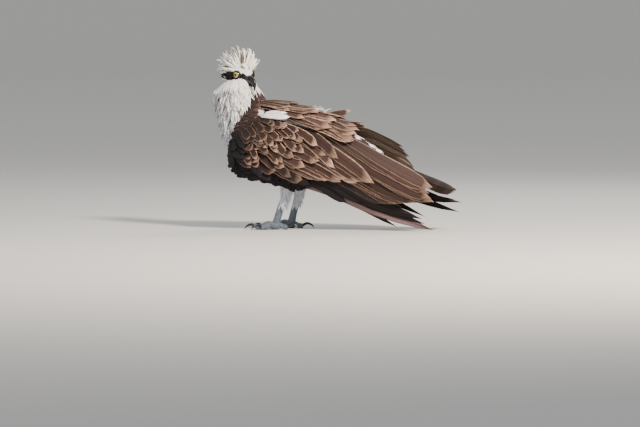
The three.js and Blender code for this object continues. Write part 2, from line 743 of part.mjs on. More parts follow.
function addNode(name, solid, colour, roughness = 0.8) {
  const mesh = solid.getMesh();
  const stride = mesh.numProp;
  const positions = new Float32Array(mesh.numVert * 3);
  for (let k = 0; k < mesh.numVert; k += 1)
    for (let axis = 0; axis < 3; axis += 1) positions[k * 3 + axis] = mesh.vertProperties[k * stride + axis];
  const geometry = new THREE.BufferGeometry();
  geometry.setAttribute("position", new THREE.BufferAttribute(positions, 3));
  geometry.setIndex(new THREE.BufferAttribute(new Uint32Array(mesh.triVerts), 1));
  geometry.computeVertexNormals();
  const material = new THREE.MeshStandardMaterial({ color: colour, roughness, metalness: 0, flatShading: true });
  const node = new THREE.Mesh(geometry, material);
  node.name = name;
  osprey.add(node);
}

const floor = slab(-200, 0);
const torsoRoom = torsoSolid(GAP);
const neckRoom = neckSolid(GAP);
const headRoom = intoHead(headCore(GAP));
const upperBill = billSolid(UPPER_BILL);
const lowerBill = billSolid(LOWER_BILL);
const nostrils = [-1, 1].map((side) =>
  ellipsoid(vec(NOSTRIL.x, side * NOSTRIL.y, NOSTRIL.z), vec(NOSTRIL.long, NOSTRIL.deep, NOSTRIL.high), 8, 6),
);
const billRooms = [billSolid(UPPER_BILL, GAP), billSolid(LOWER_BILL, GAP)];
const eyeRooms = [-1, 1].map((side) => eyeSolid(side, GAP));

addNode("torso", torsoSolid(), COLOURS.white);
const crest = headLocks().map((piece) => intoHead(piece).subtract(slab(200, COLLAR)));
const skull = intoHead(fuse([headCore(), lidSolid(-1), lidSolid(1)]));
addNode("head", fuse([skull, ...crest], [...billRooms, ...eyeRooms].map(intoHead)), COLOURS.white);
addNode("bill_upper", intoHead(fuse([upperBill], nostrils)), COLOURS.horn, 0.35);
addNode("bill_lower", intoHead(fuse([lowerBill], [billSolid(UPPER_BILL, GAP)])), COLOURS.horn, 0.35);
addNode("eye_right", intoHead(eyeSolid(-1)), COLOURS.iris, 0.08);
addNode("eye_left", intoHead(eyeSolid(1)), COLOURS.iris, 0.08);

const thighRooms = ["left", "right"].map((side) => thighSolid(side, GAP));
const keepClear = [torsoRoom, neckRoom, tailRoom(), floor, ...thighRooms];
const leftSolid = fuse(wingPieces("left"), keepClear);
const rightSolid = fuse(wingPieces("right"), keepClear);
addNode("wing_left", leftSolid, COLOURS.brown);
addNode("wing_right", rightSolid, COLOURS.brown);
const touches = (a, b) => a.intersect(b).volume() > 0;
const ruff = neckLocks().filter((piece) => !touches(piece, leftSolid) && !touches(piece, rightSolid));
const aboveCollar = slab(COLLAR - GAP, 500);
const underHead = [headRoom, aboveCollar, ...billRooms.map(intoHead)];
addNode("neck", fuse([neckSolid(), ...ruff], [torsoRoom, ...underHead]), COLOURS.white);
addNode("tail", fuse(tailSolid(), [torsoRoom]), COLOURS.dark);

for (const side of ["left", "right"]) {
  const toes = TOES.map((toe) => clawSolid(side, toe, GAP));
  addNode(`thigh_${side}`, fuse([thighSolid(side)], [torsoRoom]), COLOURS.white);
  addNode(`foot_${side}`, fuse(footSolid(side), [thighSolid(side, GAP), floor, ...toes]), COLOURS.scale, 0.6);
  TOES.forEach((toe) => addNode(`claw_${side}_${toe.name}`, clawSolid(side, toe), COLOURS.horn, 0.3));
}

// The origin goes to the middle of the footprint, on the floor.
const bounds = new THREE.Box3().setFromObject(osprey);
const middle = bounds.getCenter(vec());
osprey.position.set(-middle.x, -middle.y, -bounds.min.z);
const part = new THREE.Group();
part.add(osprey);

export default part;
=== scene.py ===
# %% [markdown]
# # A standing osprey, feather by feather
# An osprey is a large fish-eating hawk: white head and underparts, a black stripe through the
# yellow eye, brown back and wings. This lesson dresses the plain model of one that stands with
# folded wings and looks back over its left shoulder. All lengths are millimetres in the bird's own
# frame, where the breast faces -X, the left side faces -Y and the floor is z = 0.

# %% Load the frame
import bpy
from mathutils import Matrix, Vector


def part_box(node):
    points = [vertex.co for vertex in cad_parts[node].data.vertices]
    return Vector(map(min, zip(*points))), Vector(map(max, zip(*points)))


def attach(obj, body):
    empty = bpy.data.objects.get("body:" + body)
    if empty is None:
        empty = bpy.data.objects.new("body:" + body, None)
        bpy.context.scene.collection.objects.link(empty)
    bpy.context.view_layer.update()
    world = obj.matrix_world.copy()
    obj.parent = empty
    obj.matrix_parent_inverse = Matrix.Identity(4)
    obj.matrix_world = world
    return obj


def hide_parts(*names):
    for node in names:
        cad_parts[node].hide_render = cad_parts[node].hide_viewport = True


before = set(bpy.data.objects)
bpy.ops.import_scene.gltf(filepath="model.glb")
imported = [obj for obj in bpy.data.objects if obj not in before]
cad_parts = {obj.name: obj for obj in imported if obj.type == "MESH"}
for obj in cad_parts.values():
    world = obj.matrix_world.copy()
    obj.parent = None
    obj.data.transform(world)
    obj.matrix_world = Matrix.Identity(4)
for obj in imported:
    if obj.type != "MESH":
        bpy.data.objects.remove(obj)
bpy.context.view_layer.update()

import math
import bpy
import numpy as np
from mathutils import Matrix, Vector

rng = np.random.default_rng(20611)
MM = 1000
FULL_TURN = 2 * np.pi

# %% [markdown]
# ## The head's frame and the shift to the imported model
# The head was modelled on its own axes, with +X along the bill, and then turned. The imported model
# is centred on its own box, so one known point, the middle of the right eye, tells how far the
# bird's frame was moved.

# %% Head frame and shift
HEAD_CENTRE = (-132, -1, 331)
HEAD_TURN, HEAD_PITCH = -40, 9
EYE = (15, 18.5, 3)
EYE_RADIUS = 9
head_matrix = np.array(
    Matrix.Translation(HEAD_CENTRE)
    @ Matrix.Rotation(math.radians(HEAD_TURN), 4, "Z")
    @ Matrix.Rotation(math.radians(HEAD_PITCH), 4, "Y")
)
from_head = np.linalg.inv(head_matrix)


def moved(matrix, points):
    points = np.asarray(points, float)
    return points @ matrix[:3, :3].T + matrix[:3, 3]


low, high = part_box("eye_right")
eye_middle = (np.array(low) + np.array(high)) / 2 * MM
SHIFT = eye_middle - moved(head_matrix, (EYE[0], -EYE[1], EYE[2]))
print("shift of the bird's frame, mm", SHIFT.round(2))

# %% [markdown]
# ## Colours
# Colours are written as the hex values that a colour picker shows, and one function turns them
# into the linear values that Blender's shaders use. The browns are an osprey's own, with buff
# fringes. The wing is nearly black at its lower edge and paler toward the back: the flight
# feathers are blackish brown, and painted shade darkens the wing's lower edge and wrist further.

# %% Colours
def linear(code):
    values = np.array([int(code[k : k + 2], 16) / 255 for k in (1, 3, 5)])
    return np.where(values <= 0.04045, values / 12.92, ((values + 0.055) / 1.055) ** 2.4)


WHITE = linear("#fbf8f4")
CREAM = linear("#e9ded0")
SHADE_WHITE = linear("#cfd3de")
MASK = linear("#15120f")
MANTLE = linear("#382826")
WING_BROWN = linear("#412f2a")
# WING_DARK is both the primaries' own blackish brown and the painted shade at the wrist and the
# wing's lower edge
WING_DARK = linear("#1c1719")
FRINGE = linear("#c9a38c")
SCAPULAR = linear("#4a3631")
# painted light: a paler brown that stands in for the light falling on the far wing's tertials
FAR_WING_LIT_BROWN = linear("#8a7668")
LIT_PRIMARY = linear("#846a6a")
# nearly black: the tail's own dark brown with painted shade in it, for the tail lies under the
# folded wings
TAIL_BROWN = linear("#1f1512")
print("white", WHITE.round(3), "wing brown", WING_BROWN.round(3))

# %% [markdown]
# ## Tables that bend smoothly
# The body is described by a few measured sections. Between them each size follows a cubic curve
# through its neighbours, which is how a boat builder's spline behaves. A subdivided cage would do
# too, but a table can be read at any place, which is what feathers need for their roots.

# %% Smooth tables
def smooth_table(rows):
    rows = np.array(rows, float)
    x = rows[:, 0]
    slopes = np.empty_like(rows)
    slopes[1:-1] = (rows[2:] - rows[:-2]) / (x[2:] - x[:-2])[:, None]
    slopes[0] = (rows[1] - rows[0]) / (x[1] - x[0])
    slopes[-1] = (rows[-1] - rows[-2]) / (x[-1] - x[-2])

    def read(at):
        at = np.clip(np.asarray(at, float), x[0], x[-1])
        i = np.clip(np.searchsorted(x, at), 1, len(x) - 1)
        span = x[i] - x[i - 1]
        t = ((at - x[i - 1]) / span)[..., None]
        span = span[..., None]
        a, b = rows[i - 1], rows[i]
        value = (
            (2 * t**3 - 3 * t**2 + 1) * a
            + (t**3 - 2 * t**2 + t) * slopes[i - 1] * span
            + (3 * t**2 - 2 * t**3) * b
            + (t**3 - t**2) * slopes[i] * span
        )
        return [value[..., k] for k in range(1, rows.shape[1])]

    return read


halfway = smooth_table([(0, 0), (1, 1), (2, 0)])(np.array(0.5))
print("a table read between its rows gives", float(halfway[0]))

# %% Body tables
# x, back, belly, half-width
torso_at = smooth_table([
    (-153, 212, 192, 9), (-146, 234, 168, 30), (-130, 256, 146, 46), (-100, 270, 124, 57),
    (-60, 268, 112, 62), (-20, 256, 108, 61), (20, 244, 111, 56), (60, 232, 121, 48),
    (100, 216, 136, 38), (135, 197, 150, 27), (158, 180, 157, 14),
])
# share of the way up, x, y, z, fore-and-aft radius, side radius
neck_at = smooth_table([
    (0, -98, 0, 205, 50, 47), (0.25, -110, 0, 240, 49, 44), (0.5, -123, -1, 275, 43, 40),
    (0.75, -131, -2, 302, 37, 36), (1, -134, -3, 324, 32, 32),
])
# x, crown, chin, half-width
skull_at = smooth_table([
    (-37, 6, -10, 8), (-32, 17, -19, 18), (-20, 26, -26, 26), (-5, 30, -28, 29),
    (9, 28, -26, 27.5), (19, 21, -22, 22), (27, 13, -18, 15.5), (33, 6, -15, 9.5),
])
TORSO_MIDDLE, SKULL_MIDDLE = 0.46, 0.48
print("torso at x = 0:", [float(v.round(1)) for v in torso_at(np.array(0.0))])

# %% Points on the body
def unit(vectors):
    return vectors / np.linalg.norm(vectors, axis=-1, keepdims=True)


def oval_point(x, angle, top, bottom, half, middle_share, grow):
    middle = bottom + middle_share * (top - bottom)
    reach = np.where(np.sin(angle) > 0, top - middle, middle - bottom)
    return np.stack([
        x + 0 * angle, np.cos(angle) * (half + grow), middle + np.sin(angle) * (reach + grow),
    ], -1)


def torso_point(x, angle, grow=0.0):
    return oval_point(x, angle, *torso_at(x), TORSO_MIDDLE, grow)


def skull_point(x, angle, grow=0.0):
    return moved(head_matrix, oval_point(x, angle, *skull_at(x), SKULL_MIDDLE, grow))


def neck_point(share, angle, grow=0.0):
    x, y, z, fore, side = neck_at(share)
    x2, _, z2, _, _ = neck_at(np.clip(share + 0.02, 0, 1))
    x1, _, z1, _, _ = neck_at(np.clip(share - 0.02, 0, 1))
    along = unit(np.stack([x2 - x1, z2 - z1], -1))
    reach = np.cos(angle) * (fore + grow)
    return np.stack([
        x + along[..., 1] * reach, y + np.sin(angle) * (side + grow), z - along[..., 0] * reach,
    ], -1)


print("nape, half-way up:", neck_point(np.array(0.5), np.array(0.0)).round(1))

# %% [markdown]
# ## The sheet that the folded wing lies on
# A folded wing wraps over the back and hangs down the flank like a coat. Every wing feather is
# placed by how far along the body it is and how far down from the ridge of the back, and a third
# number lifts it off the sheet. The right wing is held looser, with its rear end raised.

# %% Wing sheet sections
# x, height of the ridge, height where the coat hangs straight, half-width
FRONT_ROWS = [
    (-155, 250, 196, 50), (-130, 268, 191, 58), (-95, 277, 185, 66), (-60, 274, 180, 69),
    (0, 257, 170, 66),
]
sheet_at = {
    "left": smooth_table(FRONT_ROWS + [
        (60, 242, 160, 58), (120, 214, 140, 53), (180, 182, 118, 51), (240, 152, 92, 50),
        (300, 122, 70, 50), (350, 98, 50, 50),
    ]),
    "right": smooth_table(FRONT_ROWS + [
        (60, 240, 162, 60), (110, 223, 150, 58), (145, 217, 142, 57), (180, 200, 132, 57),
        (215, 180, 122, 57), (250, 158, 112, 56), (300, 130, 98, 55), (350, 104, 84, 54),
    ]),
}
for side in ("left", "right"):
    print(side, "ridge over the tail root", float(sheet_at[side](np.array(140.0))[0].round(1)))

# %% Points on the wing sheet
SHEET_TUCK, TUCK_REACH = 9, 90
ARC_STEPS = 24


def sheet_point(side, x, down, out=0.0):
    x, down, out = np.broadcast_arrays(x, np.maximum(down, 1.0), out)
    ridge, mid, half = sheet_at[side](x)
    rise = ridge - mid
    mirror = 1 if side == "left" else -1
    # the quarter oval over the back is walked in short steps, to turn a length into an angle
    steps = np.linspace(0, np.pi / 2, ARC_STEPS + 1)
    walk = np.hypot(
        half[..., None] * np.diff(np.sin(steps)), rise[..., None] * np.diff(np.cos(steps))
    )
    walked = np.concatenate([np.zeros(x.shape + (1,)), np.cumsum(walk, -1)], -1)
    k = np.clip((walked < down[..., None]).sum(-1) - 1, 0, ARC_STEPS - 1)
    start = np.take_along_axis(walked, k[..., None], -1)[..., 0]
    step = np.take_along_axis(walk, k[..., None], -1)[..., 0]
    angle = steps[k] + (steps[1] - steps[0]) * np.clip((down - start) / step, 0, 1)
    normal = unit(np.stack([0 * x, -mirror * np.sin(angle) / half, np.cos(angle) / rise], -1))
    on_back = np.stack([x, -mirror * half * np.sin(angle), mid + rise * np.cos(angle)], -1)
    on_back = on_back + normal * out[..., None]
    # past the oval the coat hangs, and tucks in a little
    below = np.maximum(down - walked[..., -1], 0)
    tucked = -half + SHEET_TUCK * (below / TUCK_REACH) ** 2 - out
    hanging = np.stack([x, mirror * tucked, mid - below], -1)
    return np.where((below > 0)[..., None], hanging, on_back)


print("wing edge, left:", sheet_point("left", np.array(0.0), np.array(190.0)).round(1))

# %% [markdown]
# ## Adding nodes and making materials
# Materials are node graphs. One small function adds a node with its settings and its links, so
# that each graph below reads like a recipe.

# %% Node helper
def add_node(material, kind, settings=None, links=None):
    node = material.node_tree.nodes.new(kind)
    for key, value in (settings or {}).items():
        if isinstance(key, int) or key in node.inputs.keys():
            node.inputs[key].default_value = value
        else:
            setattr(node, key, value)
    for key, source in (links or {}).items():
        material.node_tree.links.new(source, node.inputs[key])
    return node


def new_material(name, roughness):
    material = bpy.data.materials.new(name)
    material.use_nodes = True
    shader = material.node_tree.nodes["Principled BSDF"]
    shader.inputs["Roughness"].default_value = roughness
    return material, shader


def wire(material, source, target):
    material.node_tree.links.new(source, target)


def solid_colour(code):
    return (*linear(code), 1)


print("node helpers ready")

# %% [markdown]
# ## Feather keratin
# A vane is a shaft with hundreds of barbs that leave it at a slant. Real barbs are a third of a
# millimetre apart, which no camera at this distance shows, so they are drawn 1.3 mm apart. They
# could be modelled as hairs, but lines in the material cost nothing and survive the export.

# %% Barb lines
BARB_SPACING = 1.3
BARB_SLANT = 1.1
BARB_STRETCH = 0.06


def barb_lines(material, metric):
    # metric holds millimetres along the shaft and millimetres away from it
    off = add_node(material, "ShaderNodeMath", {"operation": "ABSOLUTE"}, {0: metric.outputs[1]})
    slant = add_node(
        material, "ShaderNodeMath", {"operation": "MULTIPLY_ADD", 1: -BARB_SLANT},
        {0: off.outputs[0], 2: metric.outputs[0]},
    )
    dense = add_node(
        material, "ShaderNodeMath", {"operation": "MULTIPLY", 1: 1 / BARB_SPACING},
        {0: slant.outputs[0]},
    )
    thin = add_node(
        material, "ShaderNodeMath", {"operation": "MULTIPLY", 1: BARB_STRETCH},
        {0: metric.outputs[1]},
    )
    grain = add_node(
        material, "ShaderNodeCombineXYZ", links={0: dense.outputs[0], 1: thin.outputs[0]}
    )
    return add_node(
        material, "ShaderNodeTexNoise", {"Scale": 1.0, "Detail": 2.0}, {"Vector": grain.outputs[0]}
    ).outputs["Fac"]


print("barbs", BARB_SPACING, "mm apart")

# %% [markdown]
# ## The pale fringe
# Each feather carries its own middle colour and its own fringe colour as attributes. The fringe
# follows the vane's tip and edges, and starts sooner where the barbs are frayed.

# %% Fringe
FRAY = 0.3
RIM_LEAD = 0.08


def fringe_share(material, length, side, lines, start, full):
    frayed = add_node(
        material, "ShaderNodeMath", {"operation": "MULTIPLY_ADD", 1: FRAY, 2: -FRAY / 2},
        {0: lines},
    )
    tip = add_node(
        material, "ShaderNodeMapRange",
        {"From Min": start, "From Max": full, "To Min": 0.0, "To Max": 1.0}, {"Value": length},
    )
    reach = add_node(
        material, "ShaderNodeMath", {"operation": "ADD"}, {0: side, 1: frayed.outputs[0]}
    )
    rim = add_node(
        material, "ShaderNodeMapRange",
        {"From Min": start - RIM_LEAD, "From Max": full, "To Min": 0.0, "To Max": 1.0},
        {"Value": reach.outputs[0]},
    )
    return add_node(
        material, "ShaderNodeMath", {"operation": "MAXIMUM"}, {0: tip.outputs[0], 1: rim.outputs[0]}
    ).outputs[0]


print("fringe frays by", FRAY, "of the half-width")

# %% [markdown]
# ## Light and dark on a vane
# Barbs lighten and darken the colour a little, the shaft is a thin dark line, painted shade darkens
# the covered root, and a tail feather has bars. Each is a factor near 1, and the factors are
# multiplied.

# %% Tone of a vane
def tone_factors(material, length, side, lines, streak, shaft, root_shade):
    ranges = (
        (lines, 0.25, 0.75, 1 - streak, 1 + streak),
        (side, 0.03, 0.1, shaft, 1.0),
        # painted shade: the root, covered by the feathers above, is darkened
        (length, 0.0, 0.7, root_shade, 1.0),
    )
    return [
        add_node(
            material, "ShaderNodeMapRange",
            {"From Min": a, "From Max": b, "To Min": c, "To Max": d}, {"Value": source},
        ).outputs[0]
        for source, a, b, c, d in ranges
    ]


def bar_factor(material, along_mm, spacing):
    wave = add_node(
        material, "ShaderNodeMath", {"operation": "MULTIPLY", 1: 2 * math.pi / spacing},
        {0: along_mm},
    )
    wave = add_node(material, "ShaderNodeMath", {"operation": "SINE"}, {0: wave.outputs[0]})
    return add_node(
        material, "ShaderNodeMapRange",
        {"From Min": 0.1, "From Max": 0.6, "To Min": 1.0, "To Max": 1.7},
        {"Value": wave.outputs[0]},
    ).outputs[0]


def multiplied(material, factors):
    total = factors[0]
    for factor in factors[1:]:
        total = add_node(
            material, "ShaderNodeMath", {"operation": "MULTIPLY"}, {0: total, 1: factor}
        ).outputs[0]
    return total


print("tone factors ready")

# %% Feather material
KERATIN_SPECULAR, KERATIN_SHEEN = 0.15, 0.08


def feather_material(name, fringe_from, fringe_to, streak, shaft, bars=0.0, roughness=0.75,
                     root_shade=0.45):
    material, shader = new_material(name, roughness)
    vane = add_node(material, "ShaderNodeUVMap", {"uv_map": "Vane"})
    barbs = add_node(material, "ShaderNodeUVMap", {"uv_map": "Barbs"})
    tint = add_node(material, "ShaderNodeAttribute", {"attribute_name": "tint"})
    edge = add_node(material, "ShaderNodeAttribute", {"attribute_name": "edge"})
    place = add_node(material, "ShaderNodeSeparateXYZ", links={0: vane.outputs["UV"]})
    metric = add_node(material, "ShaderNodeSeparateXYZ", links={0: barbs.outputs["UV"]})
    length = place.outputs[0]
    # distance from the shaft, 0 to 1
    off = add_node(
        material, "ShaderNodeMath", {"operation": "MULTIPLY_ADD", 1: 2.0, 2: -1.0},
        {0: place.outputs[1]},
    )
    side = add_node(
        material, "ShaderNodeMath", {"operation": "ABSOLUTE"}, {0: off.outputs[0]}
    ).outputs[0]
    lines = barb_lines(material, metric)
    fringe = fringe_share(material, length, side, lines, fringe_from, fringe_to)
    mixed = add_node(
        material, "ShaderNodeMix", {"data_type": "RGBA"},
        {0: fringe, 6: tint.outputs["Color"], 7: edge.outputs["Color"]},
    )
    factors = tone_factors(material, length, side, lines, streak, shaft, root_shade)
    if bars:
        factors.append(bar_factor(material, metric.outputs[0], bars))
    shaded = add_node(
        material, "ShaderNodeVectorMath", {"operation": "SCALE"},
        {0: mixed.outputs[2], "Scale": multiplied(material, factors)},
    )
    bump = add_node(
        material, "ShaderNodeBump", {"Strength": 0.35, "Distance": 0.0004}, {"Height": lines}
    )
    wire(material, shaded.outputs[0], shader.inputs["Base Color"])
    wire(material, bump.outputs[0], shader.inputs["Normal"])
    shader.inputs["Specular IOR Level"].default_value = KERATIN_SPECULAR
    shader.inputs["Sheen Weight"].default_value = KERATIN_SHEEN
    return material


# %% [markdown]
# ## Four kinds of plumage
# Body feathers are soft and loose-barbed, so they look matt and their fringe fades in slowly.
# Coverts have a sharp buff fringe. Flight feathers are stiffer and zipped closed, which gives
# them a slight gloss. Tail feathers are barred every 30 mm.

# %% Plumage
plumage = {
    # loose white down-edged barbs: matt, almost no shaft, and little painted shade at the root
    "white": feather_material("White contour feathers", 0.6, 1.1, 0.06, 0.95, root_shade=0.9),
    # melanin-brown coverts: dark shaft streak and a narrow worn fringe
    "brown": feather_material("Brown covert feathers", 0.84, 1.0, 0.3, 0.5),
    # zipped vanes: smoother, so long soft highlights run along them
    "flight": feather_material("Brown flight feathers", 0.92, 1.02, 0.2, 0.6, roughness=0.55),
    # barred and dull, so the bars read without a shine over them
    "tail": feather_material(
        "Barred tail feathers", 0.92, 1.03, 0.16, 0.6, bars=30.0, roughness=0.95
    ),
}
print("feather materials", [m.name for m in plumage.values()])

# %% [markdown]
# ## Turning grids of points into feathers
# Each feather is a thin closed blade: a grid of points for its upper face, another for its lower
# face, and a rim. Thousands of blades with the same grid are built in one go. Every blade keeps
# three maps: Vane runs from root to tip and edge to edge, Barbs does the same in millimetres, and
# OFBake gives the blade a small patch of its own.

# %% Blade faces
def blade_faces(count, rows, cols):
    grid = np.arange(rows * cols).reshape(rows, cols)
    a, b, c, d = grid[:-1, :-1], grid[1:, :-1], grid[1:, 1:], grid[:-1, 1:]
    upper = np.stack([a, b, c, d], -1).reshape(-1, 4)
    lower = upper[:, ::-1] + rows * cols
    ring = np.concatenate([grid[0, :], grid[1:, -1], grid[-1, -2::-1], grid[-2:0:-1, 0]])
    after = np.roll(ring, -1)
    rim = np.stack([ring, after, after + rows * cols, ring + rows * cols], -1)
    one = np.concatenate([upper, lower, rim])
    per_blade = 2 * rows * cols
    return (one[None] + per_blade * np.arange(count)[:, None, None]).reshape(-1, 4)


print("faces of a 3 by 3 blade:", len(blade_faces(1, 3, 3)))

# %% Blade maps
def blade_maps(rows, cols, length_mm, width_mm, bake_at, bake_size):
    along = np.repeat(np.linspace(0, 1, rows), cols)
    across = np.tile(np.linspace(0, 1, cols), rows)
    t, v = np.tile(along, 2), np.tile(across, 2)
    count = len(length_mm)
    vane = np.stack([np.tile(t, count), np.tile(v, count)], -1)
    barbs = np.stack([
        (t[None] * length_mm[:, None]).ravel(), ((v[None] - 0.5) * width_mm[:, None]).ravel(),
    ], -1)
    patch = bake_at[:, None, :] + np.stack([v - 0.5, t - 0.5], -1)[None] * np.asarray(bake_size)
    return {"OFBake": patch.reshape(-1, 2), "Vane": vane, "Barbs": barbs}


def paint(mesh, title, colours):
    layer = mesh.attributes.new(title, "FLOAT_COLOR", "POINT")
    rgba = np.concatenate([colours, np.ones((len(colours), 1))], -1)
    layer.data.foreach_set("color", rgba.astype(np.float32).ravel())


def add_object(name, mesh):
    made = bpy.data.objects.new(name.replace(" ", "_"), mesh)
    bpy.context.collection.objects.link(made)
    return made


def finish_surface(piece, material):
    piece.data.polygons.foreach_set("use_smooth", np.ones(len(piece.data.polygons), bool))
    piece.data.materials.clear()
    piece.data.materials.append(material)


print("maps:", list(blade_maps(2, 2, np.ones(1), np.ones(1), np.zeros((1, 2)), 0.003)))

# %% Feather mesh builder
coat = []


def blades(name, top, bottom, length_mm, width_mm, tint, edge, bake_at, bake_size, material):
    count, rows, cols = top.shape[:3]
    faces = blade_faces(count, rows, cols)
    points = np.concatenate(
        [top.reshape(count, -1, 3), bottom.reshape(count, -1, 3)], 1
    ).reshape(-1, 3)
    points = (points + SHIFT) / MM
    mesh = bpy.data.meshes.new(name)
    mesh.vertices.add(len(points))
    mesh.vertices.foreach_set("co", points.astype(np.float32).ravel())
    mesh.loops.add(faces.size)
    mesh.loops.foreach_set("vertex_index", faces.astype(np.int32).ravel())
    mesh.polygons.add(len(faces))
    mesh.polygons.foreach_set("loop_start", np.arange(0, faces.size, 4, dtype=np.int32))
    for title, uv in blade_maps(rows, cols, length_mm, width_mm, bake_at, bake_size).items():
        layer = mesh.uv_layers.new(name=title)
        layer.data.foreach_set("uv", uv[faces.ravel()].astype(np.float32).ravel())
    paint(mesh, "tint", np.repeat(tint, 2 * rows * cols, 0))
    paint(mesh, "edge", np.repeat(edge, 2 * rows * cols, 0))
    mesh.update(calc_edges=True)
    mesh.validate()
    coat.append(add_object(name, mesh))
    finish_surface(coat[-1], material)
    print(name, count, "feathers,", 2 * len(faces), "triangles")


# %% [markdown]
# ## The outline of a feather
# Coverts are round-ended, primaries are long with a bluntly pointed tip, and the feathers of crest
# and neck are lances that narrow from half-way. Each outline gives the width at a share t of the
# length, as a share of the full width.

# %% Feather outlines
# t where the tip starts to round off, the power of its curve, base and slope of the root
ROUND_ENDS = {"round": (0.8, 2.2, 0.42, 1.1), "soft": (0.55, 2, 0.5, 1.4)}
TIP_WIDTH = 0.02


def rounded_tip(t, start, power):
    past = np.maximum(t - start, 0) / (1 - start)
    return np.sqrt(np.clip(1 - past**power, TIP_WIDTH, 1))


def outline(t, kind):
    if kind == "primary":
        belly = 0.7 + 0.3 * np.sin(np.pi * np.minimum(t * 1.1, 1))
        return belly * rounded_tip(t, 0.74, 1.7)
    if kind == "lance":
        taper = np.clip(1 - np.maximum(t - 0.45, 0) / 0.55, TIP_WIDTH, 1) ** 0.8
        return np.minimum(1, 0.35 + 2.0 * t) * taper
    start, power, root, slope = ROUND_ENDS[kind]
    return np.minimum(1, root + slope * t) * rounded_tip(t, start, power)


for kind in ("round", "soft", "primary", "lance"):
    print(kind, "width at nine tenths:", round(float(outline(np.array(0.9), kind)), 2))

# %% [markdown]
# ## Contour feathers on the body
# Short feathers grow out of the skin, lie back along the body and overlap like shingles. Each one
# leaves its root at a slight angle, curls back toward the body and is cupped across. Loose barbs
# at the end give the white ones their soft, ruffled look. Feathers near one another lean their
# tips together, which parts the coat into tufts, as it does on a real bird in the wind.

# %% Lean into tufts
def along_surface(direction, normal):
    return unit(direction - normal * (direction * normal).sum(-1, keepdims=True))


def leaned(root, along, normal, length, tufts, pull):
    chosen = rng.choice(len(root), tufts, replace=False)
    near = chosen[np.linalg.norm(root[:, None] - root[None, chosen], axis=-1).argmin(1)]
    meet = root[near] + along[near] * length[near, None] * 1.05
    return along_surface(along + pull * (meet - root) / length[:, None], normal)


print("tufts gather just past their middle feather's tip")

# %% Contour feathers
ROOT_DEPTH = 1.5
TWIST = 0.16
SMALL_PATCH = 0.003


def contour(name, root, along, normal, length, width, tint, edge, bake_at, material,
            kind="soft", rise=0.3, curl=0.25, cup=0.35, fray=0.12, rows=7, cols=5, thick=0.22,
            tufts=0, pull=0.6):
    count = len(root)
    along = along_surface(along, normal)
    if tufts:
        along = leaned(root, along, normal, length, tufts, pull)
    across = np.cross(normal, along)
    t = np.linspace(0, 1, rows)[None, :, None]
    c = np.linspace(-1, 1, cols)[None, None, :]
    stretch = 1 + fray * rng.uniform(-1, 1, (count, 1, cols)) * t**2
    twist = rng.normal(0, TWIST, (count, 1, 1))
    rise, curl = (np.broadcast_to(v, count)[:, None, None] for v in (rise, curl))
    long = length[:, None, None]
    half = 0.5 * width[:, None, None] * outline(t, kind)
    lift = long * (rise * t - curl * t**2) - cup * half * c**2 + twist * half * c
    lift = lift - ROOT_DEPTH * (1 - t) ** 2
    centre = (
        root[:, None, None] + along[:, None, None] * (long * t * stretch)[..., None]
        + across[:, None, None] * (half * c)[..., None] + normal[:, None, None] * lift[..., None]
    )
    shell = normal[:, None, None] * (0.5 * thick * (1 - 0.6 * t))[..., None]
    blades(name, centre + shell, centre - shell, length, width, tint, edge, bake_at,
           SMALL_PATCH, material)


# %% [markdown]
# ## Where feathers are rooted
# Roots stand in staggered rows round the body, like tiles on a round roof, each nudged a little
# at random. At each root the surface gives the way back along the body and the way out.

# %% Roots and their directions
def surface_frames(point, u, v, du, centre):
    here = point(u, v)
    along = point(u + du, v) - point(u - du, v)
    round_it = point(u, v + 0.02) - point(u, v - 0.02)
    normal = unit(np.cross(along, round_it))
    normal *= np.sign((normal * (here - centre)).sum(-1))[:, None]
    return here, unit(along), normal


def staggered(u_values, spacing, around, low=0.0, high=FULL_TURN):
    row_gap = abs(u_values[1] - u_values[0])
    us, vs = [], []
    for k, u in enumerate(u_values):
        count = max(3, int(around(u) * (high - low) / FULL_TURN / spacing))
        place = np.arange(count) + 0.5 * (k % 2) + rng.uniform(-0.25, 0.25, count)
        us.append(np.full(count, u) + rng.uniform(-0.3, 0.3, count) * row_gap)
        vs.append(low + place / count * (high - low))
    return np.concatenate(us), np.concatenate(vs)


def map_place(first, second, rims=(0.02, 0.03)):
    # where a feather's patch lies on its OFBake map, from two shares between 0 and 1
    return np.stack([rims[0] + 0.94 * first, rims[1] + 0.94 * second], -1)


def turn_share(angle):
    return np.mod(angle, FULL_TURN) / FULL_TURN


def shades(count, dark, light):
    return rng.uniform(dark, light, (count, 1))


def choose(chosen, one, other):
    return np.where(np.asarray(chosen)[:, None], one, other)


print("a quarter turn is share", turn_share(np.pi / 2))

# %% [markdown]
# ## Torso feathers
# The underparts are white and the back between the wings is dark brown. The feathers of the
# breast point down and back, and all the others lie back along the body. The rump is brown at the
# sides with a white middle, where the looser wing lets it show.

# %% Torso roots
u, v = staggered(
    np.linspace(-150, 152, 34), 8.0, lambda x: np.pi * (torso_at(np.array(x))[2] + 60)
)
heart = np.stack([u, 0 * u, np.full_like(u, 185)], -1)
root, along, normal = surface_frames(lambda a, b: torso_point(a, b, -2.5), u, v, 1.0, heart)
print("torso roots", len(root))

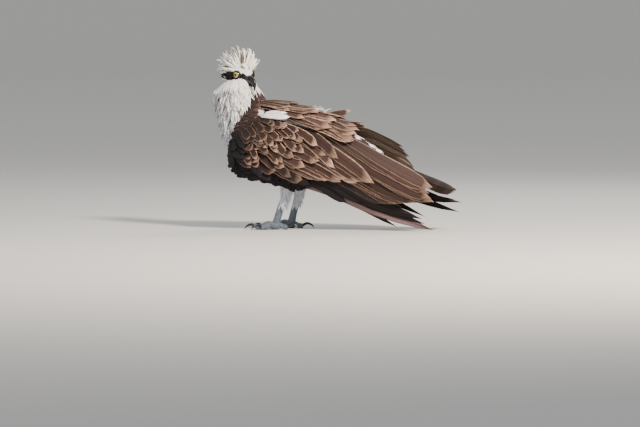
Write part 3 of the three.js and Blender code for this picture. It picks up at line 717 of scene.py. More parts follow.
# %% Torso coat
BACK_HEIGHT, RUMP_START, RUMP_PATCH, RUMP_PATCH_HALF = 214, 55, 104, 12
breast = np.clip((-100 - u) / 50, 0, 1)[:, None]
lie = along + np.array([0, 0, -1.6]) * breast + rng.normal(0, 0.08, root.shape)
white_middle = (u > RUMP_PATCH) & (np.abs(root[:, 1]) < RUMP_PATCH_HALF)
rump = (u > RUMP_START) & (np.sin(v) > 0.1) & ~white_middle
back = ((root[:, 2] > BACK_HEIGHT) & (u > -126)) | rump
tint = choose(back, MANTLE, WHITE) * shades(len(u), 0.88, 1.08)
edge = choose(back, MANTLE * 1.8, WHITE * 1.05)
bake = map_place((u + 155) / 315, turn_share(v), (0.03, 0.02))
length = 26 + 6 * rng.random(len(u))
contour("Torso feathers", root, lie, normal, length, 13 + 3 * rng.random(len(u)), tint, edge,
        bake, plumage["white"], rise=0.22, curl=0.2)

# %% [markdown]
# ## Neck ruff
# The neck is wrapped in loose white feathers that hang from nape and throat, a little parted and
# ruffled. The throat lies in the shade of the bill and looks bluish. A few dark feathers break up
# the white, and the brown mantle climbs the back of the neck to a point.

# %% Neck roots
u, v = staggered(np.linspace(0.02, 0.98, 20), 6.0, lambda share: FULL_TURN * 42)
axis = np.stack([*neck_at(u)[:3]], -1)
root, along, normal = surface_frames(lambda a, b: neck_point(a, b, -3.0), u, v, 0.01, axis)
lie = -along + rng.normal(0, 0.16, root.shape)
print("neck roots", len(root))

# %% Neck colours
throat = np.clip(-np.cos(v), 0, 1)
specks = (rng.random(len(u)) < 0.035) & (u > 0.3)
from_streak = np.abs(np.angle(np.exp(1j * (v - np.pi * 1.1))))
streak = (from_streak < 0.3) & (u > 0.6) & (rng.random(len(u)) < 0.22)
dark = specks | streak
bluish = throat[:, None] * 0.55
pale = WHITE * (1 - bluish) + SHADE_WHITE * bluish
tint = choose(dark, MASK * 2, pale) * shades(len(u), 0.9, 1.06)
edge = choose(dark, CREAM * 0.6, pale * 1.06)
mantle_edge = np.interp(u, [0.2, 0.35, 0.55, 0.72], [-0.35, -0.05, 0.4, 0.72])
mantle = (u < 0.72) & (np.cos(v) > mantle_edge)
tint[mantle] = MANTLE * shades(mantle.sum(), 0.7, 1.2)
edge[mantle] = FRINGE * shades(mantle.sum(), 0.3, 0.8)
print("dark neck feathers", int(dark.sum()), "brown ones", int(mantle.sum()))

# %% Neck coat
bake = map_place(turn_share(v), u)
length = 21 + 11 * throat + 6 * rng.random(len(u))
rise = 0.36 + 0.5 * throat
lie = choose(mantle, lie + (0.6, 0, 0), lie)
white = ~mantle
contour("Neck feathers", root[white], lie[white], normal[white], length[white],
        7 + 3 * rng.random(white.sum()), tint[white], edge[white], bake[white],
        plumage["white"], kind="lance", rise=rise[white], curl=0.2, fray=0.24, tufts=130,
        pull=0.6)
contour("Mantle feathers", root[mantle], lie[mantle], normal[mantle], length[mantle] + 5,
        12 + 3 * rng.random(mantle.sum()), tint[mantle], edge[mantle], bake[mantle],
        plumage["brown"], rise=0.3, curl=0.22, fray=0.1)

# %% [markdown]
# ## Head feathers
# Round the bill and the eyes the feathers are only a few millimetres long and lie flat. They grow
# longer over the crown and nape, where they stand up as a ruffled crest. The black stripe runs
# from the bill through the eye to the nape. One function tells the colour of any place on the
# head, so that head feathers, crest and skin agree.

# %% Head markings
def head_colours(local):
    x, y, z = local[:, 0], np.abs(local[:, 1]), local[:, 2]
    centre = np.interp(x, [-36, -22, 0, 14, 24, 34], [-9, -6, -1, 0.0, -6, -8])
    half = np.interp(x, [-36, -22, -8, 4, 9, 16, 24, 32], [7, 6, 5.2, 6.5, 11, 13, 13, 12])
    inner = np.interp(x, [-36, -20, 20, 30], [10, 15, 12, 4])
    stripe = (np.abs(z - centre) < half) & (y > inner)
    dark = stripe & ((x > 2) | (rng.random(len(x)) < 0.7))
    brow_line = np.interp(x, [2, 20], [13, 7])
    brow = (np.abs(y - brow_line) < 2.6) & (z > 12) & (x > 0) & (x < 25)
    nape = (x < -12) & (z < -5) & (z > -26) & (y > 8)
    speck = (brow & (rng.random(len(x)) < 0.8)) | (nape & (rng.random(len(x)) < 0.4))
    tint = choose(dark, MASK, choose(speck, MANTLE * 0.6, WHITE)) * shades(len(x), 0.92, 1.05)
    edge = choose(dark, MASK * 1.4, WHITE * 1.06)
    return tint, edge, dark


def skull_roots(rows, spacing, least, grow, **band):
    u, v = staggered(
        rows, spacing, lambda x: FULL_TURN * max(least, skull_at(np.array(x))[2]), **band
    )
    centre = moved(head_matrix, np.stack([u * 0.6, 0 * u, 0 * u], -1))
    root, along, normal = surface_frames(
        lambda a, b: skull_point(a, b, grow), u, v, 0.5, centre
    )
    return u, v, root, along, normal, map_place(turn_share(v), (u + 37) / 72)


print("the stripe is widest at the lores, 26 mm")

# %% Head coat
u, v, root, along, normal, bake = skull_roots(np.linspace(-35, 30, 27), 3.2, 6, -1.5)
local = moved(from_head, root)
tint, edge, dark = head_colours(local)
crown = np.clip(np.sin(v), 0, 1)
nape = np.clip((-u - 5) / 25, 0, 1)
face = np.clip((u + 2) / 22, 0, 1)
near_eye = np.hypot(local[:, 0] - EYE[0], local[:, 2] - EYE[2]) < EYE_RADIUS - 0.2
keep = ~(near_eye & (np.abs(local[:, 1]) > 14))
lie = -along + rng.normal(0, 0.12, root.shape) + np.array([0, 0, -0.35])
length = 5 + 5 * (1 - face) + 8 * crown * (1 - face) + 4 * nape + 2 * rng.random(len(u))
width = 3.4 + 2.2 * (1 - face)
rise = 0.18 + 0.35 * crown * (1 - face) + 0.2 * nape
contour("Head feathers", root[keep], lie[keep], normal[keep], length[keep], width[keep],
        tint[keep], edge[keep], bake[keep], plumage["white"], rise=rise[keep], curl=0.12,
        fray=0.2, rows=6, tufts=260, pull=0.35)

# %% [markdown]
# ## Crest
# The raised crest feathers are long, narrow and pointed. They start on the crown, nape and cheeks
# and fan out, so the outline of the head is a ring of soft spikes of uneven length. A broken brown
# streak runs up from the forehead.

# %% Crest colours
u, v, root, along, normal, bake = skull_roots(
    np.linspace(-34, 12, 18), 3.4, 8, -1.0, low=-0.55, high=np.pi + 0.35
)
crown = np.clip(np.sin(v), 0, 1)
forehead = (u > -8) & (np.abs(v - 1.72) < 0.3)
streaked = rng.random(len(u)) < np.where(forehead, 0.5, 0.05)
tint, edge, dark = head_colours(moved(from_head, root))
high = np.sin(v) > 0.3
tint = choose(high, choose(streaked, MANTLE, WHITE), tint) * shades(len(u), 0.95, 1.05)
edge = choose(high, choose(streaked, CREAM, WHITE * 1.06), edge)
print("crest roots", len(root), "streaked", int(streaked.sum()))

# %% Crest
show = ~(dark & (v < 0.6))
far_side = np.clip(np.cos(v), 0, 1) * (u > -24)
lie = -along * 0.9 + rng.normal(0, 0.2, root.shape)
length = 11 + 8 * crown + 6 * far_side + 9 * rng.random(len(u)) ** 2
rise = 0.55 + 0.7 * np.maximum(crown, far_side)
contour("Crest feathers", root[show], lie[show], normal[show], length[show],
        4.2 + 2 * rng.random(show.sum()), tint[show], edge[show], bake[show],
        plumage["white"], kind="lance", rise=rise[show], curl=0.25, fray=0.25, cup=0.5,
        tufts=80, pull=0.95)

# %% [markdown]
# ## Wing feathers
# The feathers of a wing come in tiers: long primaries and secondaries at the bottom, then greater,
# median and lesser coverts, each tier laid over the roots of the one below. A tier is fanned
# between a first and a last feather. All of a tier rises together from its roots to its tips, and
# each feather is tilted a little so that its lower edge lies over the next. Each could be placed
# by hand, but a table with a few numbers for a tier is quicker to correct against a photograph.
# Neighbours of one tier still touch or cut into each other in places.

# %% Distance from a tier's line
def from_line(line, x, down):
    (ax, ad), (bx, bd) = line
    span = math.hypot(bx - ax, bd - ad)
    if span < 1:
        return np.hypot(x - ax, down - ad)
    return np.abs((x - ax) * (bd - ad) - (down - ad) * (bx - ax)) / span


print("5 mm off a line:", from_line(((0, 0), (9, 0)), np.array(3.0), np.array(5.0)))

# %% Painted shade on the wrist and lower edge
WRIST_START, WRIST_FADE, WRIST_TOP, WRIST_TOP_FADE = -92, 14, 206, 18
EDGE_HEIGHT, EDGE_SLOPE, EDGE_START, EDGE_FADE = 154, 0.24, -108, 14


def lit_share(side, root, tip):
    # painted shade: the wrist and the wing's lower edge are painted darker than the coverts above
    # them
    seen = sheet_point(
        side, tip[:, 0] * 0.85 + root[:, 0] * 0.15, tip[:, 1] * 0.85 + root[:, 1] * 0.15
    )
    forward = np.clip((WRIST_START - seen[:, 0]) / WRIST_FADE, 0, 1)
    low = np.clip((WRIST_TOP - seen[:, 2]) / WRIST_TOP_FADE, 0, 1)
    edge_line = EDGE_HEIGHT - EDGE_SLOPE * (seen[:, 0] - EDGE_START)
    low_edge = np.clip((edge_line - seen[:, 2]) / EDGE_FADE, 0, 1)
    return 1 - np.maximum(forward * low, low_edge)[:, None]


def blend(dark, light, share):
    return dark * (1 - share) + light * share


print("a feather at the wrist is lit by", lit_share(
    "left", np.array([[-130.0, 120]]), np.array([[-120.0, 160]])).round(2).tolist())

# %% Wing tiers
MAP_COLUMNS, PATCH_SHARE = 14, 0.9
TOP_FLOOR, BOTTOM_FLOOR = 0.6, 0.3
WEB_CROWN = 0.5


def sheet_tier(name, side, roots, tips, count, wide, lift, tilt, kind, material, tint, edge,
               arch=0.0, stack=0.0, curl=0.0, loose=0.03, rows=16, cols=7, thick=0.35, cell=0,
               dark=False, lead=None):
    k = np.linspace(0, 1, count)
    roots, tips = np.array(roots, float), np.array(tips, float)
    root = roots[0] + (roots[1] - roots[0]) * k[:, None] + rng.normal(0, 1.2, (count, 2))
    tip = tips[0] + (tips[1] - tips[0]) * k[:, None] + rng.normal(0, loose * 90, (count, 2))
    tip[:, 0] += np.sin(k * np.pi) * arch
    if dark:
        # painted shade: feathers at the wrist and along the lower edge are blended toward
        # near-black
        lit = lit_share(side, root, tip)
        tint, edge = blend(WING_DARK, tint, lit), blend(WING_DARK * 1.5, edge, lit)
    if lead is not None:
        tint = np.tile(tint, (count, 1))
        tint[:2] = lead
    length = np.linalg.norm(tip - root, axis=-1)
    long = length[:, None, None]
    t = np.linspace(0, 1, rows)[None, :, None]
    c = np.linspace(-1, 1, cols)[None, None, :]
    wide = wide * (1 + 0.08 * rng.normal(size=(count, 1, 1)))
    half = 0.5 * wide * outline(t, kind)
    x, down = vane_grid(root, tip, long, half, t, c)
    # the tier climbs evenly from the line of its roots to the line of its tips
    past, left = from_line(roots, x, down), from_line(tips, x, down)
    out = lift[0] + (lift[1] - lift[0]) * past / (past + left + 1e-6)
    out = out + tilt * c * outline(t, kind) + WEB_CROWN * (1 - c**2) * (half / 12)
    out = out + stack * np.arange(count)[:, None, None]
    out = out + curl * rng.uniform(0.2, 1.0, (count, 1, 1)) * t**4
    out = out + rng.normal(0, loose * 8, (count, 1, 1)) * t
    top = sheet_point(side, x, down, out + 0.5 * thick)
    bottom = sheet_point(side, x, down, out - 0.5 * thick)
    top[..., 2] = np.maximum(top[..., 2], TOP_FLOOR)
    bottom[..., 2] = np.maximum(bottom[..., 2], BOTTOM_FLOOR)
    shade = shades(count, 0.66, 1.25)
    edge = edge * shades(count, 0.7, 1.35)
    place = cell + np.arange(count)
    bake = np.stack([place % MAP_COLUMNS + 0.5, place // MAP_COLUMNS + 0.5], -1) / MAP_COLUMNS
    patch = PATCH_SHARE / MAP_COLUMNS
    blades(name, top, bottom, length, np.full(count, float(np.mean(wide))), tint * shade,
           edge * shade, bake, (patch, patch), material)


def vane_grid(root, tip, long, half, t, c):
    # nicked edges and a gentle bow, as (along the body, down from the ridge)
    count, rows, cols = len(root), t.shape[1], c.shape[2]
    nick = 1 + 0.035 * rng.normal(size=(count, rows, cols)) * (np.abs(c) > 0.9) * (t > 0.2)
    bow = 0.03 * long * rng.normal(size=count)[:, None, None] * np.sin(np.pi * t)
    reach = half * c * nick + bow
    run = long * t * (1 - 0.03 * c**2 * t)
    along = (tip - root) / long[:, 0]
    x = root[:, 0, None, None] + along[:, 0, None, None] * run - along[:, 1, None, None] * reach
    down = root[:, 1, None, None] + along[:, 1, None, None] * run + along[:, 0, None, None] * reach
    return x, down


print("places on a wing map", MAP_COLUMNS**2)

# %% [markdown]
# ## The tiers, from the longest feathers up
# Each line of the tables gives the roots and tips of one tier as (along the body, down from the
# ridge). The looser right wing ends elsewhere, so some tiers have tips of their own for it. Where
# a line names no kind or material, the tier is of round-ended brown coverts.

# %% Flight feathers and large coverts
FLIGHT_TIERS = [
    dict(name="primaries", count=8, wide=25, lift=(-8.5, -8.5), tilt=0.4, kind="primary",
         material="flight", roots=((-84, 184), (-20, 150)), tips=((296, 148), (214, 128)),
         right=((342, 90), (250, 112)), arch=10, stack=0.95, tint=WING_DARK, edge=WING_BROWN,
         lead=LIT_PRIMARY),
    dict(name="secondaries", count=12, wide=30, lift=(0.5, 4.5), tilt=2.1, material="flight",
         roots=((-50, 166), (20, 86)), tips=((112, 178), (272, 98)),
         right=((112, 178), (236, 92)), arch=8, tint=WING_BROWN, edge=FRINGE * 0.8, dark=True),
    dict(name="tertials", count=5, wide=32, lift=(1.5, 9), tilt=2.4, material="flight",
         roots=((24, 75), (40, 44)), tips=((306, 84), (300, 61)), right=((244, 78), (222, 28)),
         arch=-6, tint=WING_BROWN, edge=FRINGE),
    dict(name="greater coverts", count=12, wide=28, lift=(3, 12), tilt=2.1,
         roots=((-84, 158), (4, 86)), tips=((18, 178), (178, 103)), arch=6,
         tint=WING_BROWN * 0.9, edge=FRINGE, dark=True, curl=1.5, loose=0.05),
    dict(name="median coverts", count=13, wide=23, lift=(2.5, 15), tilt=2.1,
         roots=((-108, 160), (-14, 68)), tips=((-38, 186), (92, 92)), arch=5,
         tint=WING_BROWN, edge=FRINGE, curl=4.0, dark=True, loose=0.1),
]
print("flight tiers", [tier["name"] for tier in FLIGHT_TIERS])

# %% Small ruffled coverts
# the small tiers darken toward the wing's leading edge: partly the coverts' own darker brown,
# partly painted shade
SMALL_TIERS = [
    dict(name="lesser coverts", count=15, wide=18, lift=(2, 15.5), tilt=2.0,
         roots=((-122, 150), (-26, 68)), tips=((-76, 184), (42, 90)), arch=4,
         tint=WING_BROWN * 0.8, edge=FRINGE, curl=7.0, loose=0.15, dark=True),
    dict(name="lesser coverts 2", count=15, wide=16, lift=(2, 16), tilt=1.8,
         roots=((-128, 138), (-40, 68)), tips=((-92, 180), (18, 88)), arch=4,
         tint=WING_BROWN * 0.7, edge=FRINGE, curl=8.0, loose=0.16, dark=True),
    dict(name="lesser coverts 3", count=15, wide=15, lift=(1.5, 16), tilt=1.8,
         roots=((-134, 126), (-54, 66)), tips=((-106, 172), (-2, 86)), arch=3,
         tint=WING_BROWN * 0.7, edge=FRINGE, curl=8.0, loose=0.16, dark=True),
    dict(name="lesser coverts 4", count=14, wide=15, lift=(1, 15.5), tilt=1.6,
         roots=((-139, 116), (-68, 66)), tips=((-118, 160), (-22, 84)), arch=3,
         tint=WING_BROWN * 0.6, edge=FRINGE * 0.8, curl=5.0, loose=0.1, dark=True),
    dict(name="marginal coverts", count=14, wide=15, lift=(0, 13), tilt=1.4,
         roots=((-144, 108), (-86, 64)), tips=((-130, 146), (-46, 82)), arch=2,
         tint=WING_BROWN * 0.6, edge=FRINGE * 0.5, curl=3.0, loose=0.08, dark=True),
]
print("small tiers", [tier["name"] for tier in SMALL_TIERS])

# %% Feathers of the shoulder and back
BACK_TIERS = [
    dict(name="white shoulder", count=6, wide=8, lift=(8, 15.5), tilt=0.8, kind="soft",
         material="white", roots=((-72, 69), (-66, 60)), tips=((-22, 59), (-28, 50)), arch=16,
         tint=WHITE, edge=WHITE, curl=0.5),
    dict(name="low scapulars", count=8, wide=24, lift=(0.5, 15), tilt=2.3,
         roots=((-26, 50), (-6, 12)), tips=((122, 58), (134, 16)), arch=4, tint=SCAPULAR,
         edge=FRINGE, loose=0.06, curl=1.0),
    dict(name="middle scapulars", count=8, wide=21, lift=(0, 16.5), tilt=2.4,
         roots=((-60, 44), (-36, 10)), tips=((70, 54), (92, 14)), arch=4, tint=SCAPULAR,
         edge=FRINGE, loose=0.06, curl=1.0),
    dict(name="high scapulars", count=8, wide=19, lift=(-1.5, 16.5), tilt=2.2,
         roots=((-88, 38), (-62, 10)), tips=((20, 44), (46, 12)), arch=4, tint=SCAPULAR * 0.8,
         edge=FRINGE * 0.8, loose=0.06, curl=1.0),
    dict(name="mantle", count=9, wide=17, lift=(-2, 14), tilt=1.8,
         roots=((-104, 34), (-84, 6)), tips=((-26, 40), (-6, 8)), arch=3, tint=MANTLE,
         edge=FRINGE * 0.7, loose=0.06, curl=1.0),
]
print("back tiers", [tier["name"] for tier in BACK_TIERS])

# %% Lay the tiers
def for_side(tier, side):
    settings = dict(kind="round", material="brown") | tier
    right_tips = settings.pop("right", settings["tips"])
    if side == "right":
        settings |= dict(tips=right_tips, lead=None)
        if tier["name"] == "tertials":
            # painted light: the far wing's tertials take the paler, lit brown
            settings |= dict(tint=FAR_WING_LIT_BROWN, edge=FAR_WING_LIT_BROWN * 1.3)
    settings |= dict(name=f"{side} {tier['name']}", material=plumage[settings["material"]])
    return settings


for side in ("left", "right"):
    cell = 0
    for tier in FLIGHT_TIERS + SMALL_TIERS + BACK_TIERS:
        sheet_tier(side=side, cell=cell, **for_side(tier, side))
        cell += tier["count"]

# %% [markdown]
# ## The two outermost primaries
# They lie lowest in the folded wing, under all the others. On the left wing the second one hangs
# out of line and catches the light. Its own colour carries that mauve tone.

# %% Outer primaries
# root, tip, width, lift, colour
OUTER = {
    "left": (
        ((-88, 174), (220, 179), 20, -10.9, WING_DARK),
        ((-80, 180), (294, 152), 26, -9.7, LIT_PRIMARY),
    ),
    "right": (
        ((-88, 174), (268, 152), 20, -10.9, WING_DARK),
        ((-80, 180), (334, 108), 22, -9.7, WING_DARK),
    ),
}
OUTER_CELL = 182
for side in ("left", "right"):
    for k, (root_at, tip_at, wide, out, tone) in enumerate(OUTER[side]):
        sheet_tier(
            f"{side} outer primary {k + 1}", side, (root_at, root_at), (tip_at, tip_at), 1, wide,
            (out, out), 0.4, "primary", plumage["flight"], tone, tone * 1.3, cell=OUTER_CELL + k,
        )

# %% [markdown]
# ## Small coverts over the wrist and the lower edge
# The leading edge of the wing is rounded and fully feathered. Rows of small feathers, set like
# those of the body, cover it from the wrist down to the lower edge of the folded arm. Longer
# tiers could reach that far, but without small feathers the smooth skin shows where they end.

# %% Folded arm
# x, upper edge and lower edge as lengths down from the ridge, thickness
ARM = smooth_table([
    (-150, 112, 140, 3), (-140, 84, 168, 10), (-118, 52, 192, 13), (-90, 18, 201, 14),
    (-50, 8, 203, 14), (0, 5, 196, 13), (40, 8, 176, 11), (75, 20, 150, 7), (100, 45, 120, 3),
])
COVERT_GAP, ARM_FRONT, EDGE_BAND = 6.0, -96, 56


def wrist_spots():
    spots = []
    for k, x in enumerate(np.arange(-146, 70, COVERT_GAP)):
        top, low_edge, thick = (float(value) for value in ARM(np.array(x)))
        start = top if x < ARM_FRONT else low_edge - EDGE_BAND
        for down in np.arange(start + 3 * (k % 2), low_edge, COVERT_GAP):
            share = (down - top) / (low_edge - top)
            bulge = max(0.0, 1 - (2 * share - 1) ** 2) ** 0.3
            spots.append((x, down, bulge * (thick * 0.5 - 1) - 2.5))
    return np.array(spots)


print("coverts on each wrist", len(wrist_spots()))

# %% Wrist coat
def sheet_frames(side, x, down, out):
    here = sheet_point(side, x, down, out)
    along = sheet_point(side, x + 1, down, out) - sheet_point(side, x - 1, down, out)
    return here, unit(along), unit(sheet_point(side, x, down, out + 1) - here)


for side in ("left", "right"):
    spots = wrist_spots()
    spots = spots + rng.normal(0, 0.8, (len(spots), 3)) * (1, 1, 0.3)
    root, along, normal = sheet_frames(side, *spots.T)
    lie = along + np.array([0, 0, -0.25]) + rng.normal(0, 0.12, root.shape)
    # painted shade: coverts low on the folded arm are blended toward near-black
    lit = np.clip((root[:, 2] - 196) / 22, 0, 1)[:, None]
    tint = blend(WING_DARK, WING_BROWN, lit) * shades(len(root), 0.8, 1.15)
    edge = blend(WING_DARK * 1.7, FRINGE * 0.6, lit)
    bake = map_place((spots[:, 0] + 152) / 225, spots[:, 1] / 215, (0.03, 0.03))
    contour(f"{side} wrist coverts", root, lie, normal, 17 + 4 * rng.random(len(root)),
            10 + 2 * rng.random(len(root)), tint, edge, bake, plumage["brown"], rise=0.24,
            curl=0.16)

# %% [markdown]
# ## Loose feathers on the back
# Where the two wings meet, a puff of white down shows between the scapulars. It takes single
# feathers set one by one, since no row of a tier ends so irregularly. Two long brown
# feathers with pale round tips have turned on edge there and stick out over the far wing.

# %% Stray feathers
contour(
    "left stray scapular",
    root=np.array([(46, 10, 245), (38, 14, 239)], float),
    along=np.array([(1, 0.1, 0.08), (1, 0.12, 0.0)], float),
    normal=np.array([(-0.1, -0.75, 0.65), (-0.1, -0.7, 0.7)], float),
    length=np.array([60.0, 54.0]), width=np.array([17.0, 15.0]),
    tint=np.stack([SCAPULAR, SCAPULAR * 0.6]), edge=np.stack([FRINGE, FRINGE * 0.6]),
    bake_at=np.array([(0.96, 0.3), (0.96, 0.6)]), material=plumage["brown"], kind="round",
    rise=0.04, curl=0.06,
)

# %% Down puff
count = 44
seat = np.stack([rng.uniform(18, 52, count), rng.uniform(-16, 4, count)], -1)
root = sheet_point("left", seat[:, 0], np.abs(seat[:, 1]) + 1, 9)
root[:, 1] = seat[:, 1]
up = np.tile([0.0, -0.25, 1.0], (count, 1)) / math.hypot(1, 0.25)
lie = np.array([1.0, -0.2, 0.1]) + rng.normal(0, 0.3, (count, 3))
snow = np.tile(WHITE, (count, 1))
contour("Down puff", root, lie, up, 12 + 5 * rng.random(count), 6 + 2 * rng.random(count),
        snow, snow, (seat + (0, 20)) / 80, plumage["white"], kind="lance", rise=0.5, curl=0.2,
        fray=0.3)

# %% [markdown]
# ## Thigh feathers
# Short dense feathers hang over each thigh like loose trousers, go on down round the shank and end
# raggedly about half-way to the foot. They grow round a line from hip to ankle to foot, which is
# simpler than a body section and bends with the leg.

# %% Thigh coat
LEGS = {
    "left": dict(hip=(-16, -34, 132), ankle=(-24, -31, 78), foot=(-47, -33, 13), turn=8),
    "right": dict(hip=(-5, 34, 132), ankle=(-8, 31, 80), foot=(-27, 33, 13), turn=-6),
}
# the share 1 is at the ankle, and the rest of it runs down the shank
TROUSER_END = 1.34
for side in ("left", "right"):
    hip, ankle, foot = (np.array(LEGS[side][key], float) for key in ("hip", "ankle", "foot"))
    u, v = staggered(
        np.linspace(0.0, TROUSER_END, 19), 4.5, lambda s: FULL_TURN * max(26 - 15 * s, 10)
    )
    above, below = np.clip(u, 0, 1)[:, None], np.clip(u - 1, 0, 1)[:, None]
    axis = hip + (ankle - hip) * above + (foot - ankle) * below
    radius = np.interp(u, [0, 0.33, 0.66, 1, TROUSER_END], [24, 18, 12.5, 10.5, 9.0])[:, None]
    normal = unit(np.stack([np.cos(v), np.sin(v), 0.15 + 0 * v], -1))
    root = axis + normal * (radius - 1.0)
    lie = np.tile(unit(foot - hip), (len(u), 1)) + rng.normal(0, 0.12, root.shape)
    tone = SHADE_WHITE * shades(len(u), 0.8, 1.1)
    bake = map_place(turn_share(v), 0.68 / 0.94 * u)
    contour(f"Thigh feathers {side}", root, lie, normal, 13 + 5 * rng.random(len(u)),
            6 + 2 * rng.random(len(u)), tone, tone * 1.05, bake, plumage["white"],
            kind="lance", rise=0.16, curl=0.12, fray=0.25, tufts=40, pull=0.5)

# %% [markdown]
# ## Tail
# Twelve stiff feathers in a stack, the middle pair on top, barred dark and darker. The tail is
# rolled a little so that its left edge hangs lower. It is built flat, with a step down from each
# feather to the next, and then turned into place by one matrix.

# %% Tail frame
TAIL_ROOT, TAIL_LENGTH, TAIL_DROP, TAIL_ROLL = (128, 0, 172), 230, 21.5, 14
TAIL_FEATHER_WIDTH, TAIL_STEP, TAIL_HALF_THICK = 31, 1.35, 0.2
tail_matrix = np.array(
    Matrix.Translation(TAIL_ROOT)
    @ Matrix.Rotation(math.radians(TAIL_DROP), 4, "Y")
    @ Matrix.Rotation(math.radians(TAIL_ROLL), 4, "X")
)
print("tail tip", moved(tail_matrix, (TAIL_LENGTH, 0, 0)).round(1))

# %% Tail feathers
count, rows, cols = 12, 20, 9
k = np.arange(count)
side_share = k / (count - 1) * 2 - 1
length = TAIL_LENGTH * (1 - 0.035 * side_share**2)
t = np.linspace(0, 1, rows)[None, :, None]
c = np.linspace(-1, 1, cols)[None, None, :]
half = 0.5 * TAIL_FEATHER_WIDTH * outline(t, "round")
middle = side_share[:, None, None] * (9 + 17 * t**0.9)
frayed = 1 + 0.03 * rng.normal(size=(count, rows, cols)) * (np.abs(c) > 0.9)
across = middle + half * c * frayed
under = np.abs(k - (count - 1.2) / 2)[:, None, None]
high = -under * TAIL_STEP + 0.5 * (1 - c**2) - 1.2 * t**2 + 0 * across
run = length[:, None, None] * t * (1 - 0.02 * c**2 * t) + 0 * across
grid = np.stack([run, across, high], -1)
shell = np.array([0, 0, TAIL_HALF_THICK])
bake = np.stack([(k % 4 + 0.5) / 4, (k // 4 + 0.5) / 3], -1)
shade = shades(count, 0.9, 1.1)
blades("Tail feathers", moved(tail_matrix, grid + shell), moved(tail_matrix, grid - shell),
       length, np.full(count, float(TAIL_FEATHER_WIDTH)), TAIL_BROWN * shade,
       TAIL_BROWN * 1.8 * shade, bake, (0.22, 0.3), plumage["tail"])

# %% [markdown]
# ## Skin
# One closed skin lies under the feathers, as on the living bird. It is made the way a clay figure
# is: simple lofted masses for torso, neck, head, thighs, arms and tail root are pushed together
# and remeshed into a single surface. A sculpted mesh could do the same, but torso, neck, head and
# arms here read the very sections that the feathers grow from, sunk a few millimetres, so that
# skin and coat always agree.

# %% Lofting rings of points
def full_circle(sides):
    return np.linspace(0, FULL_TURN, sides, endpoint=False)


def lofted(name, rings):
    rings = np.asarray(rings, float)
    count, sides = rings.shape[:2]
    points = (np.concatenate([rings.reshape(-1, 3), rings[[0, -1]].mean(1)]) + SHIFT) / MM
    faces = []
    for r in range(count - 1):
        for s in range(sides):
            n = (s + 1) % sides
            faces.append((r * sides + s, r * sides + n, (r + 1) * sides + n, (r + 1) * sides + s))
    for s in range(sides):
        n = (s + 1) % sides
        faces.append((count * sides, n, s))
        faces.append((count * sides + 1, (count - 1) * sides + s, (count - 1) * sides + n))
    mesh = bpy.data.meshes.new(name)
    mesh.from_pydata([tuple(p) for p in points], [], faces)
    mesh.update()
    return add_object(name, mesh)


print("a circle starts at", full_circle(4).round(2))

# %% Tubes along a path
def tube_rings(path, radii, count=24, sides=20):
    path, radii = np.array(path, float), np.array(radii, float)
    at = smooth_table(np.column_stack([np.linspace(0, 1, len(path)), path]))
    rad = smooth_table(np.column_stack([np.linspace(0, 1, len(radii)), radii]))
    s = np.linspace(0, 1, count)
    centre = np.stack(at(s), -1)
    tangent = unit(np.gradient(centre, axis=0))
    # any fixed direction that no tube runs along gives the rings one steady start
    aside = unit(np.cross(tangent, np.array([0.13, 0.97, 0.2])))
    over = np.cross(tangent, aside)
    angle = full_circle(sides)
    radius = rad(s)[0][:, None, None]
    return (
        centre[:, None] + radius * np.cos(angle)[None, :, None] * aside[:, None]
        + radius * np.sin(angle)[None, :, None] * over[:, None]
    )


print("tube rings", tube_rings([(0, 0, 0), (0, 0, 9), (0, 0, 20)], [3, 2, 1]).shape)

# %% Joining masses into one surface
def join(masses, name, voxel):
    bpy.ops.object.select_all(action="DESELECT")
    for mass in masses:
        mass.select_set(True)
    bpy.context.view_layer.objects.active = masses[0]
    bpy.ops.object.join()
    whole = bpy.context.view_layer.objects.active
    whole.name = name.replace(" ", "_")
    remesh = whole.modifiers.new("One surface", "REMESH")
    remesh.mode = "VOXEL"
    remesh.voxel_size = voxel
    bpy.ops.object.modifier_apply(modifier="One surface")
    whole.select_set(False)
    return whole


print("joins masses with a voxel remesh")

# %% Trunk masses
BODY_DEPTH, SKULL_DEPTH = -7.0, -2.2
# distance along the tail, half width, half height
TAIL_FLESH = ((-14, 13, 9), (4, 17, 13), (34, 19, 10), (70, 20, 5.5), (92, 15, 2.5))
angle = full_circle(48)


def tail_ring(x, w, h):
    ring = np.stack([x + 0 * angle, np.cos(angle) * w, -4 + np.sin(angle) * h], -1)
    return moved(tail_matrix, ring)


def cut_rings(point, places, depth):
    return [point(np.array(place), angle, depth) for place in places]


masses = [
    lofted("mass", cut_rings(torso_point, np.linspace(-144, 150, 60), BODY_DEPTH)),
    lofted("mass", cut_rings(neck_point, np.linspace(0, 1, 24), BODY_DEPTH)),
    lofted("mass", cut_rings(skull_point, np.linspace(-35, 33, 40), SKULL_DEPTH)),
    lofted("mass", [tail_ring(x, w, h) for x, w, h in TAIL_FLESH]),
]
print("trunk masses", len(masses))

# %% Thighs and arms
ARM_SIDES = 20


def thigh_rings(side):
    hip, ankle = np.array(LEGS[side]["hip"]), np.array(LEGS[side]["ankle"])
    knee = (hip + ankle) / 2 + (-3, 0, 0)
    return tube_rings([hip, knee, ankle + 0.1 * (knee - ankle)], [22, 16, 9, 7.2])


